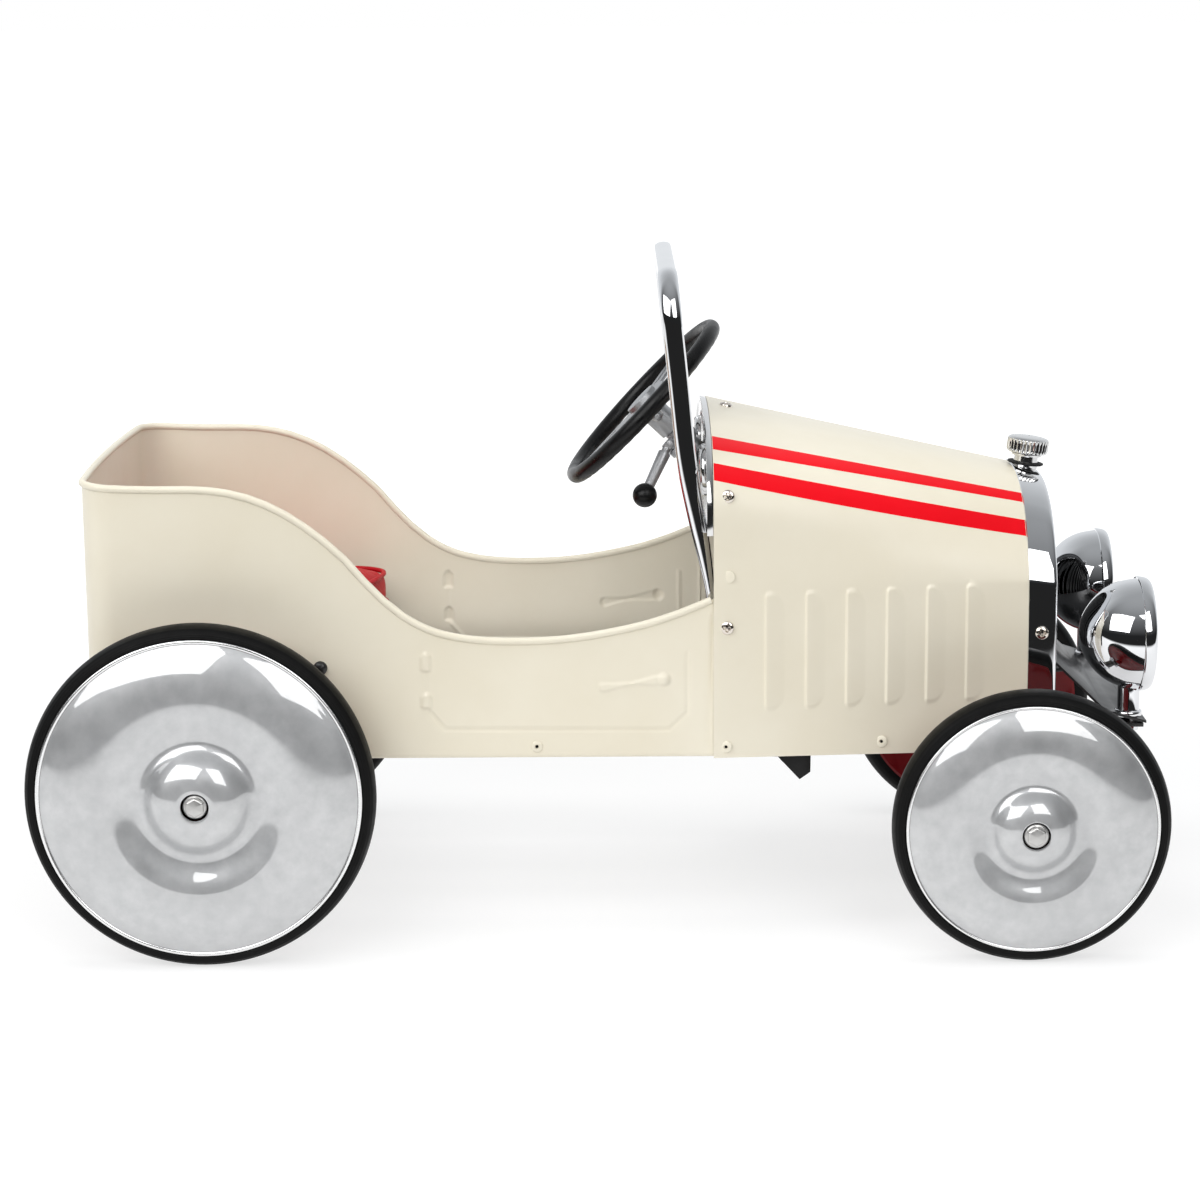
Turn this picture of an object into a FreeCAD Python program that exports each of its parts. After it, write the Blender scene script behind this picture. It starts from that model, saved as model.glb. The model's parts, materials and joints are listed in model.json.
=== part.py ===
import FreeCAD, Part
import math
import os

# Child's pedal car, millimetres.
# +X forward, +Y to the driver's left, +Z up, origin on the floor under the middle of the car.
# Every named sub-part is written to its own file in parts/.

V = FreeCAD.Vector

# ---------------------------------------------------------------- driving dimensions
SHEET = 1.6                       # body sheet
TUB_HALF = 147.0                  # outside half width of the tub
TUB_BOTTOM = 137.5
TUB_FRONT = 82.0                  # seam between tub and bonnet
TUB_BACK = -366.0
CORNER_R = 24.0                   # plan radius of the rear corners
# height of the cockpit rim along the car (x, z)
RIM = [(-400, 340.0), (-366, 337.5), (-340, 335.6), (-310, 334.6), (-275, 334.2), (-253, 331.0),
       (-237, 326.0), (-221, 318.5), (-206, 309.0), (-190, 296.5), (-174, 281.5), (-159, 263.5),
       (-138, 244.5), (-117, 233.0), (-96, 227.6), (-74, 225.3), (-52, 224.9), (-31, 225.6),
       (-9, 228.0), (12, 231.6), (34, 236.6), (55, 243.3), (69.5, 249.0), (83, 254.8), (100, 262.5)]

BONNET_FRONT = 308.0
# right-hand half of the bonnet section (half width, height): rear edge, then front edge
SIDE_REAR = [(149.0, 137.0), (149.0, 180.0), (149.0, 222.0), (149.0, 263.0)]
SIDE_FRONT = [(111.0, 131.5), (111.0, 172.0), (110.8, 214.0), (108.5, 254.5)]
TOP_REAR = [(149.0, 263.0), (148.2, 298.0), (145.6, 326.0), (137.5, 339.5), (119.0, 352.5),
            (86.0, 362.3), (45.0, 368.6), (0.0, 370.5)]
TOP_FRONT = [(108.5, 254.5), (105.0, 266.0), (98.5, 277.5), (89.0, 290.0), (75.0, 303.0),
             (56.0, 313.5), (30.0, 320.5), (0.0, 322.2)]
LOUVRES = 6
LOUVRE_X = 118.4
LOUVRE_PITCH = 28.9
LOUVRE_W = 14.5
LOUVRE_LOW = 169.6
LOUVRE_HIGH = 256.0

SURROUND_DEPTH = 21.0
SURROUND_WALL = 17.0

WHEEL_FACE = 200.0                # outside face of the tyres from the middle of the car
REAR_R = 122.8
FRONT_R = 97.5
REAR_X = -277.2
FRONT_X = 302.5
AXLE_R = 6.0
RUN = 0.05                        # radial running clearance

CRANK_THROW = 36.0
PEDAL_PIVOT = (106.0, 235.0)      # x, z
PEDAL_ARM = 123.0
PEDAL_SWING = 17.0                # each way from the middle of the stroke

PAD_HALF = 30.0                   # fixing pad under the first cross member
PAD_LOW = 139.0

KING_Y = 150.0                    # kingpins from the middle of the car
ARM = 32.0                        # steering arms and drop arm
WHEEL_CENTRE = V(34.3, 0, 371.4)
TILT = math.radians(43.4)         # steering column below the horizontal
WHEEL_R = 74.0                    # centre line of the steering rim
RIM_TUBE_R = 6.2

SEAT_FLOOR = 186.0
SEAT_TOP = 232.0

SCREEN_BAR = 9.0                  # thickness of the windscreen hoop, side to side

GAUGE_Y = 70.0                    # the two instruments, either side of the column
GAUGE_Z = 331.0

LAMP_Y = 95.0
LAMP_Z = 213.5
LAMP_BACK = 347.0
LAMP_FRONT = 397.0
LAMP_R = 41.5

SHAPES = {}


# ---------------------------------------------------------------- small helpers
def box(x0, x1, y0, y1, z0, z1):
    return Part.makeBox(x1 - x0, y1 - y0, z1 - z0, V(x0, y0, z0))


def bar(p0, p1, r):
    p0 = V(*p0)
    p1 = V(*p1)
    return Part.makeCylinder(r, (p1 - p0).Length, p0, p1 - p0)


def tube(p0, p1, r_out, r_in):
    a = V(*p0)
    b = V(*p1)
    d = (b - a).normalize()
    hole = bar(a - d * 1.0, b + d * 1.0, r_in)
    return bar(p0, p1, r_out).cut(hole)


def outward(shape):
    # turns a solid the right way out
    if shape.Volume < 0:
        shape.reverse()
    return shape


def prism(points, vec):
    pts = [V(*p) for p in points]
    face = Part.Face(Part.makePolygon(pts + [pts[0]]))
    return outward(face.extrude(V(*vec)))


def prism_xz(points, y0, y1):
    return prism([(x, y0, z) for x, z in points], (0, y1 - y0, 0))


def prism_xy(points, z0, z1):
    return prism([(x, y, z0) for x, y in points], (0, 0, z1 - z0))


def mirror_y(shape):
    return shape.mirror(V(0, 0, 0), V(0, 1, 0))


def fuse(shapes):
    out = shapes[0].multiFuse(shapes[1:]) if len(shapes) > 1 else shapes[0]
    return out.removeSplitter()


def both_sides(shape):
    return Part.makeCompound([shape, mirror_y(shape)])


def revolve_y(points, x, z, side):
    # points are (radius, distance from the middle of the car), turned about the wheel axis
    pts = [V(x + r, side * y, z) for r, y in points]
    face = Part.Face(Part.makePolygon(pts + [pts[0]]))
    return outward(face.revolve(V(x, 0, z), V(0, 1, 0), 360))


def revolve_x(points, y, z):
    pts = [V(x, y, z + r) for x, r in points]
    face = Part.Face(Part.makePolygon(pts + [pts[0]]))
    return outward(face.revolve(V(0, y, z), V(1, 0, 0), 360))


def smooth(points, steps):
    # evenly blended points through a profile, for revolved dishes
    curve = Part.BSplineCurve()
    curve.interpolate([V(a, b, 0) for a, b in points])
    first = curve.FirstParameter
    span = curve.LastParameter - first
    out = []
    for i in range(steps + 1):
        p = curve.value(first + span * i / steps)
        out.append((p.x, p.y))
    return out


def hermite(table, x):
    # smooth curve through a table of (x, z) pairs
    n = len(table)
    slope = []
    for i in range(n):
        a = table[max(i - 1, 0)]
        b = table[min(i + 1, n - 1)]
        slope.append((b[1] - a[1]) / (b[0] - a[0]))
    for i in range(n - 1):
        x0, z0 = table[i]
        x1, z1 = table[i + 1]
        if x <= x1 or i == n - 2:
            h = x1 - x0
            t = (x - x0) / h
            a = 2 * t ** 3 - 3 * t ** 2 + 1
            b = t ** 3 - 2 * t ** 2 + t
            c = -2 * t ** 3 + 3 * t ** 2
            d = t ** 3 - t ** 2
            return a * z0 + b * h * slope[i] + c * z1 + d * h * slope[i + 1]
    return table[-1][1]


def put(name, shape):
    SHAPES[name] = shape


# ---------------------------------------------------------------- tub
def plan_face(inset, front, z):
    # outline of the tub seen from above, moved inwards by the inset
    h = TUB_HALF - inset
    r = CORNER_R - inset
    cx = -338.5
    cy = 123.0
    back = TUB_BACK + inset
    q = r * math.sqrt(0.5)
    e1 = Part.LineSegment(V(front, -h, z), V(cx, -h, z)).toShape()
    e2 = Part.Arc(V(cx, -h, z), V(cx - q, -cy - q, z), V(cx - r, -cy, z)).toShape()
    e3 = Part.Arc(V(cx - r, -cy, z), V(back, 0, z), V(cx - r, cy, z)).toShape()
    e4 = Part.Arc(V(cx - r, cy, z), V(cx - q, cy + q, z), V(cx, h, z)).toShape()
    e5 = Part.LineSegment(V(cx, h, z), V(front, h, z)).toShape()
    e6 = Part.LineSegment(V(front, h, z), V(front, -h, z)).toShape()
    return Part.Face(Part.Wire([e1, e2, e3, e4, e5, e6]))


def plan_block(inset, front, z, height):
    return outward(plan_face(inset, front, z).extrude(V(0, 0, height)))


def above_rim(lower):
    # everything above the cockpit rim, as one block; lower drops the cut
    xs = [x for x, z in RIM if x < TUB_FRONT + 6]
    curve = Part.BSplineCurve()
    curve.interpolate([V(x, -200, hermite(RIM, x) - lower) for x in xs])
    a = curve.value(curve.FirstParameter)
    b = curve.value(curve.LastParameter)
    edges = [curve.toShape(),
             Part.LineSegment(b, V(b.x, -200, 420)).toShape(),
             Part.LineSegment(V(b.x, -200, 420), V(a.x, -200, 420)).toShape(),
             Part.LineSegment(V(a.x, -200, 420), a).toShape()]
    return outward(Part.Face(Part.Wire(edges)).extrude(V(0, 400, 0)))


def rim_bead():
    # thickened edge that stands for the sheet rolled over along the rim
    band = plan_block(-1.8, TUB_FRONT, 200.0, 160).cut(plan_block(SHEET + 1.0, TUB_FRONT + 5, 190.0, 180))
    return band.cut(above_rim(0)).common(above_rim(5.2))


def ridge(a, b, w, h):
    # straight pressed ridge between two points (x, z) on the right-hand side
    y = -TUB_HALF
    dx = b[0] - a[0]
    dz = b[1] - a[1]
    length = math.hypot(dx, dz)
    ux = dx / length
    uz = dz / length
    a0 = (a[0] - ux * w / 2, a[1] - uz * w / 2)
    b0 = (b[0] + ux * w / 2, b[1] + uz * w / 2)
    px = -uz * w / 2
    pz = ux * w / 2
    pts = [(a0[0] + px, a0[1] + pz), (b0[0] + px, b0[1] + pz),
           (b0[0] - px, b0[1] - pz), (a0[0] - px, a0[1] - pz)]
    return prism_xz(pts, y - h, y + 0.8)


def door_ridges():
    # pressed outline of a make-believe door with its handle, on one side
    y = -TUB_HALF
    line = [(-121.3, 200), (-121.3, 172.5), (-108.0, 158.4), (49.7, 157.6), (63.6, 169.2), (63.6, 212)]
    out = []
    for i in range(len(line) - 1):
        out.append(ridge(line[i], line[i + 1], 2.2, 0.9))
    for low in (175.0, 202.5):
        out.append(box(-124.8, -117.6, y - 2.4, y + 0.8, low, low + 10.5))
    out.append(ridge((9.0, 188.9), (44.0, 193.6), 3.0, 1.4))
    out.append(bar((5.0, y - 1.8, 188.4), (5.0, y + 0.8, 188.4), 3.4))
    out.append(bar((46.6, y - 3.2, 194.0), (46.6, y + 0.8, 194.0), 4.2))
    return out


def tub():
    low = TUB_BOTTOM
    outer = plan_block(0, TUB_FRONT, low, 260)
    inner = plan_block(SHEET, TUB_FRONT + 5, low - 5, 280)
    wall = outer.cut(inner).cut(above_rim(0))
    lip_out = plan_block(0.4, TUB_FRONT, low, SHEET)
    lip_in = plan_block(12.0, TUB_FRONT + 5, low - 1, SHEET + 2)
    lip = lip_out.cut(lip_in)
    ridges = door_ridges()
    ridges = ridges + [mirror_y(r) for r in ridges]
    return fuse([wall, lip, rim_bead()] + ridges)


# ---------------------------------------------------------------- bonnet and nose
def offset_points(points, t, last_flat):
    # moves a half section inwards by t, at right angles to itself
    out = []
    n = len(points)
    for i in range(n):
        a = points[max(i - 1, 0)]
        b = points[min(i + 1, n - 1)]
        ty = b[0] - a[0]
        tz = b[1] - a[1]
        if i == n - 1 and last_flat:
            ty = -1.0
            tz = 0.0
        length = math.hypot(ty, tz)
        out.append((points[i][0] - t * tz / length, points[i][1] + t * ty / length))
    return out


def blend_points(rear, front, x):
    f = (x - TUB_FRONT) / (BONNET_FRONT - TUB_FRONT)
    return [(a[0] + (b[0] - a[0]) * f, a[1] + (b[1] - a[1]) * f) for a, b in zip(rear, front)]


def section_points(x, inset, drop):
    side = offset_points(blend_points(SIDE_REAR, SIDE_FRONT, x), inset, False)
    top = offset_points(blend_points(TOP_REAR, TOP_FRONT, x), inset, True)
    knee = ((side[-1][0] + top[0][0]) / 2, (side[-1][1] + top[0][1]) / 2)
    side[-1] = knee
    top[0] = knee
    side[0] = (side[0][0], side[0][1] - drop)
    return side, top


def section_wire(x, inset, drop):
    side, top = section_points(x, inset, drop)
    right = [V(x, -y, z) for y, z in side]
    crown = [V(x, -y, z) for y, z in top] + [V(x, y, z) for y, z in reversed(top[:-1])]
    left = [V(x, y, z) for y, z in reversed(side)]
    edges = []
    for pts in (right, crown, left):
        curve = Part.BSplineCurve()
        curve.interpolate(pts)
        edges.append(curve.toShape())
    edges.append(Part.LineSegment(left[-1], right[0]).toShape())
    return Part.Wire(edges)


def bonnet_block(inset, x0, x1, drop):
    return outward(Part.makeLoft([section_wire(x0, inset, drop), section_wire(x1, inset, drop)], True, True))


def side_angle():
    return math.degrees(math.atan2(149.0 - 111.0, BONNET_FRONT - TUB_FRONT))


def louvre():
    # one louvre lying on a wall that faces -Y, at x = 0
    low = LOUVRE_LOW
    high = LOUVRE_HIGH
    w = LOUVRE_W
    e = 5.0
    e1 = Part.LineSegment(V(0, e, low), V(0, e, high)).toShape()
    e2 = Part.Arc(V(0, e, high), V(w * 0.75, e, high - 4), V(w, e, high - 15)).toShape()
    e3 = Part.LineSegment(V(w, e, high - 15), V(w, e, low + 15)).toShape()
    e4 = Part.Arc(V(w, e, low + 15), V(w * 0.75, e, low + 4), V(0, e, low)).toShape()
    face = Part.Face(Part.Wire([e1, e2, e3, e4]))
    block = outward(face.extrude(V(0, -8.0, 0)))
    # the forward side fades into the sheet, the rear side stands proud
    wedge = prism_xy([(-5, -5), (w + 5, -5), (w + 5, 1.0), (w, 0.6), (0, -2.4), (-5, -2.4)],
                     low - 9, high + 9)
    return block.cut(wedge)


def bonnet():
    skin = bonnet_block(0, TUB_FRONT, BONNET_FRONT, 0)
    hollow = bonnet_block(SHEET, TUB_FRONT - 6, BONNET_FRONT + 6, 12)
    shell = skin.cut(hollow)
    angle = side_angle()
    parts = []
    for i in range(LOUVRES):
        x = LOUVRE_X + i * LOUVRE_PITCH
        s = louvre()
        s.rotate(V(0, 0, 0), V(0, 0, 1), angle)
        s.translate(V(x, -149.0 + (x - TUB_FRONT) * (38.0 / 226.0), 0))
        parts.append(s.cut(hollow))
    parts = parts + [mirror_y(s) for s in parts]
    return shell.multiFuse(parts).removeSplitter()


def nose_section(x, grow, low):
    # arch of the radiator surround
    side, top = section_points(BONNET_FRONT, -grow, 0)
    side = [(y, max(z, low)) for y, z in side]
    side[0] = (side[0][0], low)
    drop = 4.4 * (x - BONNET_FRONT) / SURROUND_DEPTH
    crown = [(y, z - drop * (z - 140.0) / 182.0) for y, z in side[:-1] + top]
    pts = [V(x, -y, z) for y, z in crown] + [V(x, y, z) for y, z in reversed(crown[:-1])]
    curve = Part.BSplineCurve()
    curve.interpolate(pts)
    return Part.Wire([curve.toShape(), Part.LineSegment(pts[-1], pts[0]).toShape()])


def nose_block(x0, x1, grow0, grow1, low):
    return outward(Part.makeLoft([nose_section(x0, grow0, low), nose_section(x1, grow1, low)], True, True))


def radiator_surround():
    x0 = BONNET_FRONT
    x1 = BONNET_FRONT + SURROUND_DEPTH
    block = nose_block(x0, x1, 0.8, 0.0, 132.0)
    hole = nose_block(x0 - 4, x1 + 4, 0.8 - SURROUND_WALL, -SURROUND_WALL, 158.0)
    return block.cut(hole)


def radiator_grille():
    # black plate behind the surround, with upright slats standing in its opening
    x = BONNET_FRONT
    plate = nose_block(x - 2.2, x, -6.0, -6.0, 160.0)
    clip = nose_block(x - 1.0, x + 10.0, 0.0 - SURROUND_WALL - 3.0, -SURROUND_WALL - 3.0, 161.0)
    slats = []
    for i in range(15):
        y = -84.0 + i * 12.0
        slats.append(box(x - 0.8, x + 8.0, y - 1.6, y + 1.6, 150, 330).common(clip))
    return plate.multiFuse(slats).removeSplitter()


def radiator_cap():
    # knurled filler cap on a short neck, leaning slightly forward
    r = 15.5
    teeth = []
    for i in range(30):
        a = math.radians(12.0 * i)
        x = r * math.cos(a)
        y = r * math.sin(a)
        teeth.append(bar((x, y, 11), (x, y, 21), 0.95))
    body = Part.makeCylinder(r - 0.6, 10, V(0, 0, 11))
    top = Part.makeSphere(60, V(0, 0, 21 - 58.4)).common(Part.makeCylinder(r - 0.6, 3, V(0, 0, 21)))
    neck = Part.makeCylinder(9.5, 14, V(0, 0, -3))
    lip = Part.makeCylinder(11.2, 1.4, V(0, 0, 8.6))
    knurled = body.cut(Part.makeCompound(teeth))
    out = fuse([knurled, top, neck, lip])
    out.rotate(V(0, 0, 0), V(0, 1, 0), 7.0)
    out.translate(V(318.5, 0, 321.0))
    return out.cut(SHAPES["radiator_surround"])


def front_apron():
    # sloping panel under the radiator that carries the lamp posts
    line = [(329.0, 196.0), (366.0, 160.0), (396.0, 151.0)]
    under = [(396.0, 149.2), (365.5, 158.2), (329.0, 193.8)]
    block = prism_xz(line + under, -108, 108)
    plan = prism_xy([(328, -108), (366, -108), (397, -104), (397, 104), (366, 108), (328, 108)], 140, 200)
    return block.common(plan)


# ---------------------------------------------------------------- dashboard and windscreen
def dashboard_panel():
    x0 = TUB_FRONT - 3.2
    x1 = TUB_FRONT - 0.4
    outer = bonnet_block(SHEET + 0.0, x0, x1, 0).common(box(x0 - 1, x1 + 1, -160, 160, 297, 400))
    edge = bonnet_block(0.2, TUB_FRONT - 4.6, x1, 0).common(box(x0 - 2, x1 + 1, -160, 160, 297, 400))
    edge = edge.cut(bonnet_block(4.0, x0 - 6, x1 + 6, 20))
    out = outer.fuse(edge).removeSplitter()
    hole = column_cylinder(40, 80, 13.0)
    out = out.cut(hole)
    return out


def gauges(part):
    out = []
    for y in (-GAUGE_Y, GAUGE_Y):
        x = TUB_FRONT - 3.2
        if part == "bezel":
            pts = [(x, 16.0), (x, 19.0), (x - 2.4, 19.0), (x - 4.6, 17.2), (x - 4.6, 16.0)]
        else:
            pts = [(x, 0.0), (x, 16.0), (x - 3.0, 16.0), (x - 3.0, 0.0)]
        out.append(revolve_x(pts, y, GAUGE_Z))
    return Part.makeCompound(out)


def windscreen_frame():
    # upright hoop, bent from thick oval bar, leaning back
    half = 137.5
    band = SCREEN_BAR
    r = 36.0
    low = 248.0
    top = 480.5

    def hoop(h, t, rad, z0):
        e = [Part.LineSegment(V(0, -h, z0), V(0, -h, t - rad)).toShape()]
        q = rad * (1 - math.sqrt(0.5))
        e.append(Part.Arc(V(0, -h, t - rad), V(0, -h + q, t - q), V(0, -h + rad, t)).toShape())
        e.append(Part.LineSegment(V(0, -h + rad, t), V(0, h - rad, t)).toShape())
        e.append(Part.Arc(V(0, h - rad, t), V(0, h - q, t - q), V(0, h, t - rad)).toShape())
        e.append(Part.LineSegment(V(0, h, t - rad), V(0, h, z0)).toShape())
        e.append(Part.LineSegment(V(0, h, z0), V(0, -h, z0)).toShape())
        return outward(Part.Face(Part.Wire(e)).extrude(V(120, 0, 0)))

    frame = hoop(half, top, r, low).cut(hoop(half - band, top - band, r - band, low - 5))
    line = [(49.5, 490.0), (51.8, 465.0), (54.2, 440.0), (59.2, 391.0), (65.6, 334.0), (72.5, 298.0),
            (79.0, 262.0), (81.5, 244.0)]
    wide = [7.0, 7.2, 7.2, 7.2, 7.0, 6.2, 4.0, 3.6]
    back = Part.BSplineCurve()
    back.interpolate([V(x - w, -200, z) for (x, z), w in zip(line, wide)])
    fore = Part.BSplineCurve()
    fore.interpolate([V(x + w, -200, z) for (x, z), w in zip(line, wide)])
    a0 = back.value(back.FirstParameter)
    a1 = back.value(back.LastParameter)
    b0 = fore.value(fore.FirstParameter)
    b1 = fore.value(fore.LastParameter)
    wire = Part.Wire([back.toShape(), Part.LineSegment(a1, b1).toShape(), fore.toShape(),
                      Part.LineSegment(b0, a0).toShape()])
    side = outward(Part.Face(wire).extrude(V(0, 400, 0)))
    return frame.common(side)


# ---------------------------------------------------------------- lamps
def lamp_outline():
    x = LAMP_BACK
    return smooth([(x, 0.5), (x + 1.2, 9.0), (x + 6.5, 20.5), (x + 16.0, 31.0), (x + 28.0, 37.5),
                   (x + 41.0, 40.0)], 14)


def lamp_envelope(y):
    # the whole lamp as one solid, for cutting its post to fit
    x = LAMP_BACK + 41.0
    front = [(x, LAMP_R), (x + 6.0, LAMP_R), (LAMP_FRONT, 40.0), (LAMP_FRONT, 0.0)]
    return revolve_x([(LAMP_BACK, 0.0)] + lamp_outline() + front, y, LAMP_Z)


def lamp_shell(y):
    outer = lamp_outline()
    inner = [(x + 1.2, max(r - 1.6, 0.0)) for x, r in reversed(outer)]
    inner[0] = (LAMP_BACK + 41.0, 38.4)
    pts = [(LAMP_BACK, 0.0)] + outer + inner + [(LAMP_BACK + 1.2, 0.0)]
    clean = [pts[0]]
    for p in pts[1:]:
        if math.hypot(p[0] - clean[-1][0], p[1] - clean[-1][1]) > 0.3:
            clean.append(p)
    return revolve_x(clean, y, LAMP_Z)


def lamp_bezel(y):
    x = LAMP_BACK + 41.0
    pts = [(x, 37.0), (x, LAMP_R), (x + 6.0, LAMP_R), (LAMP_FRONT, 40.0), (LAMP_FRONT, 37.0)]
    return revolve_x(pts, y, LAMP_Z)


def lamp_lens(y):
    x = LAMP_BACK + 43.5
    return revolve_x([(x, 0.0), (x, 37.0), (x + 2.0, 37.0), (x + 4.5, 25.0), (x + 5.6, 12.0), (x + 6.0, 0.0)],
                     y, LAMP_Z)


def lamp_post(y):
    x = 384.0
    post = bar((x, y, 153.0), (x, y, 180.0), 8.0)
    ring = bar((x, y, 153.0), (x, y, 157.5), 10.0)
    foot = bar((x + 4.0, y, 142.0), (x + 4.0, y, 153.5), 4.0)
    return fuse([post, ring, foot]).cut(lamp_envelope(y))


def lamp_bracket():
    # cross strap under the apron, with two arms back to the frame
    strap = box(378.0, 394.0, -104, 104, 146.4, 149.2)
    arms = []
    for y in (-88.0, 88.0):
        arms.append(prism_xz([(329, 141.0), (386, 146.4), (386, 149.2), (329, 143.8)], y - 8, y + 8))
    return fuse([strap] + arms)


# ---------------------------------------------------------------- frame
def rail():
    low = 140.6
    high = 158.6
    y1 = -(TUB_HALF - SHEET)
    y0 = y1 + 14.0
    back = -335.0
    outer = box(back, TUB_FRONT, y1, y0, low, high)
    inner = box(back - 1, TUB_FRONT + 1, y1 + SHEET, y0 + 1, low + SHEET, high - SHEET)
    straight = outer.cut(inner)
    k = 38.0 / 226.0
    f0 = y1
    x1 = 303.0
    f1 = y1 + 0.3 + (x1 - TUB_FRONT) * k

    def slab(a, b, z0, z1):
        return prism_xy([(TUB_FRONT, f0 + a), (x1, f1 + a), (x1, f1 + b), (TUB_FRONT, f0 + b)], z0, z1)

    front = slab(0, 14.0, low, high).cut(slab(SHEET, 20.0, low + SHEET, high - SHEET))
    return straight, front


def chassis_frame():
    straight, front = rail()
    parts = [straight, front, mirror_y(straight), mirror_y(front)]
    parts.append(box(-335.0, -321.0, -144, 144, 140.6, 158.6).cut(box(-333.4, -300, -200, 200, 142.2, 157.0)))
    for x in (188.0, 250.0):
        w = 130.0 - (x - TUB_FRONT) * 38.0 / 226.0
        parts.append(box(x, x + 16.0, -w, w, 140.6, 145.0))
    # pad under the first cross member, the level face that the car can be fixed by
    parts.append(box(188.0, 204.0, -PAD_HALF, PAD_HALF, PAD_LOW, 140.6))
    # hangers for the rear axle
    for s in (-1, 1):
        pts = [(REAR_X - 22, 158.6), (REAR_X + 22, 158.6), (REAR_X + 12, 112.0), (REAR_X - 12, 112.0)]
        plate = prism_xz(pts, s * 127.0, s * 131.4)
        sleeve = bar((REAR_X, s * 119.0, REAR_R), (REAR_X, s * 139.0, REAR_R), 12.0)
        parts.append(plate)
        parts.append(sleeve)
    out = fuse(parts)
    out = out.cut(bar((REAR_X, -160, REAR_R), (REAR_X, 160, REAR_R), AXLE_R + RUN))
    return out


def front_axle_beam():
    beam = box(FRONT_X - 8, FRONT_X + 8, -142, 142, 112, 126)
    parts = [beam]
    for s in (-1, 1):
        parts.append(bar((FRONT_X, s * KING_Y, 106), (FRONT_X, s * KING_Y, 134), 10.5))
        parts.append(box(FRONT_X - 12, FRONT_X + 0, min(s * 92, s * 106), max(s * 92, s * 106), 126, 140.6))
    out = fuse(parts)
    for s in (-1, 1):
        out = out.cut(bar((FRONT_X, s * KING_Y, 100), (FRONT_X, s * KING_Y, 140), AXLE_R + RUN))
    return out


def pedal_hangers():
    x, z = PEDAL_PIVOT
    strap = box(x - 11, x + 11, -133.0, -129.6, 158.6, z + 12)
    foot = box(x - 11, x + 11, -137.5, -129.6, 158.6, 161.0)
    return both_sides(fuse([strap, foot]).cut(bar((x, -160, z), (x, 160, z), 4.0)))


def pedal_pivot_rod():
    x, z = PEDAL_PIVOT
    parts = [bar((x, -134.6, z), (x, 134.6, z), 4.0)]
    for s in (-1, 1):
        parts.append(bar((x, s * 133.0, z), (x, s * 136.0, z), 7.0))
        for y in (52.2, 63.2):
            parts.append(bar((x, s * y, z), (x, s * (y + 2.0), z), 7.0))
    return fuse(parts)


# ---------------------------------------------------------------- seat
def seat_pan():
    top = box(-341, -166, -145.4, 145.4, SEAT_FLOOR - 2.0, SEAT_FLOOR)
    front = box(-168, -166, -145.4, 145.4, SEAT_FLOOR - 14.0, SEAT_FLOOR)
    sides = []
    for s in (-1, 1):
        y0 = min(s * 143.4, s * 145.4)
        sides.append(box(-330, -184, y0, y0 + 2.0, SEAT_FLOOR, SEAT_FLOOR + 24))
    return fuse([top, front] + sides)


def seat_cushion():
    body = box(-332, -167, -126, 126, SEAT_FLOOR, SEAT_TOP)
    upright = [e for e in body.Edges if abs(e.Vertexes[0].Z - e.Vertexes[1].Z) > 10]
    body = body.makeFillet(20.0, upright)
    upper = [e for e in body.Edges if min(v.Z for v in e.Vertexes) > SEAT_TOP - 1]
    return body.makeFillet(15.0, upper)


# ---------------------------------------------------------------- wheels
def tyre(x, r, side):
    f = WHEEL_FACE
    lip = r - 8.9
    pts = [(lip - 2.4, f - 21.0), (lip + 4.0, f - 23.6), (r - 3.0, f - 21.5), (r - 0.5, f - 17.0),
           (r, f - 12.0), (r - 0.1, f - 7.0), (r - 1.4, f - 3.0), (r - 3.6, f - 0.8), (lip + 1.6, f),
           (lip, f - 0.8), (lip, f - 4.0), (lip - 2.4, f - 4.0)]
    return revolve_y(pts, x, r, side)


def wheel_disc(x, r, side):
    # painted disc with its rolled rim and steel hub
    f = WHEEL_FACE
    lip = r - 11.3
    hub = 13.0
    pts = [(AXLE_R + RUN, f - 34.0), (hub, f - 34.0), (hub, f - 15.0), (r * 0.33, f - 15.0),
           (r * 0.5, f - 9.0), (lip - 9.0, f - 13.0), (lip - 2.0, f - 21.0), (lip, f - 21.0),
           (lip, f - 6.0), (lip - 1.8, f - 6.0), (lip - 1.8, f - 17.0), (lip - 8.0, f - 10.8),
           (r * 0.5, f - 7.0), (r * 0.33, f - 13.0), (hub, f - 13.0), (hub, f - 2.0),
           (AXLE_R + RUN, f - 2.0)]
    return revolve_y(pts, x, r, side)


def wheel_cover(x, r, side):
    # domed dish with a raised boss round the axle
    f = WHEEL_FACE
    k = (r - 8.9) / 113.9
    line = [(113.9, 0.0), (110.0, 0.6), (106.0, 2.4), (100.0, 5.2), (92.0, 7.8), (84.0, 9.4), (76.0, 10.3),
            (68.0, 10.4), (60.0, 9.2), (52.0, 6.6), (46.0, 4.9), (42.0, 4.6), (38.0, 6.0), (34.0, 9.8),
            (30.0, 14.0), (25.0, 17.4), (19.0, 19.6), (13.0, 21.0)]
    outer = [(a * k, f + b * k) for a, b in line]
    outer[0] = (r - 8.95, f + 0.2)
    inner = [(a, b - 1.0) for a, b in reversed(outer)]
    inner[-1] = (r - 8.95, f - 3.9)
    inner.insert(len(inner) - 1, (r - 11.3, f - 3.9))
    hole = 9.6
    outer.append((hole, f + 20.6 * k))
    inner.insert(0, (hole, f + 20.6 * k - 1.0))
    return revolve_y(outer + inner, x, r, side)


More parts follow.
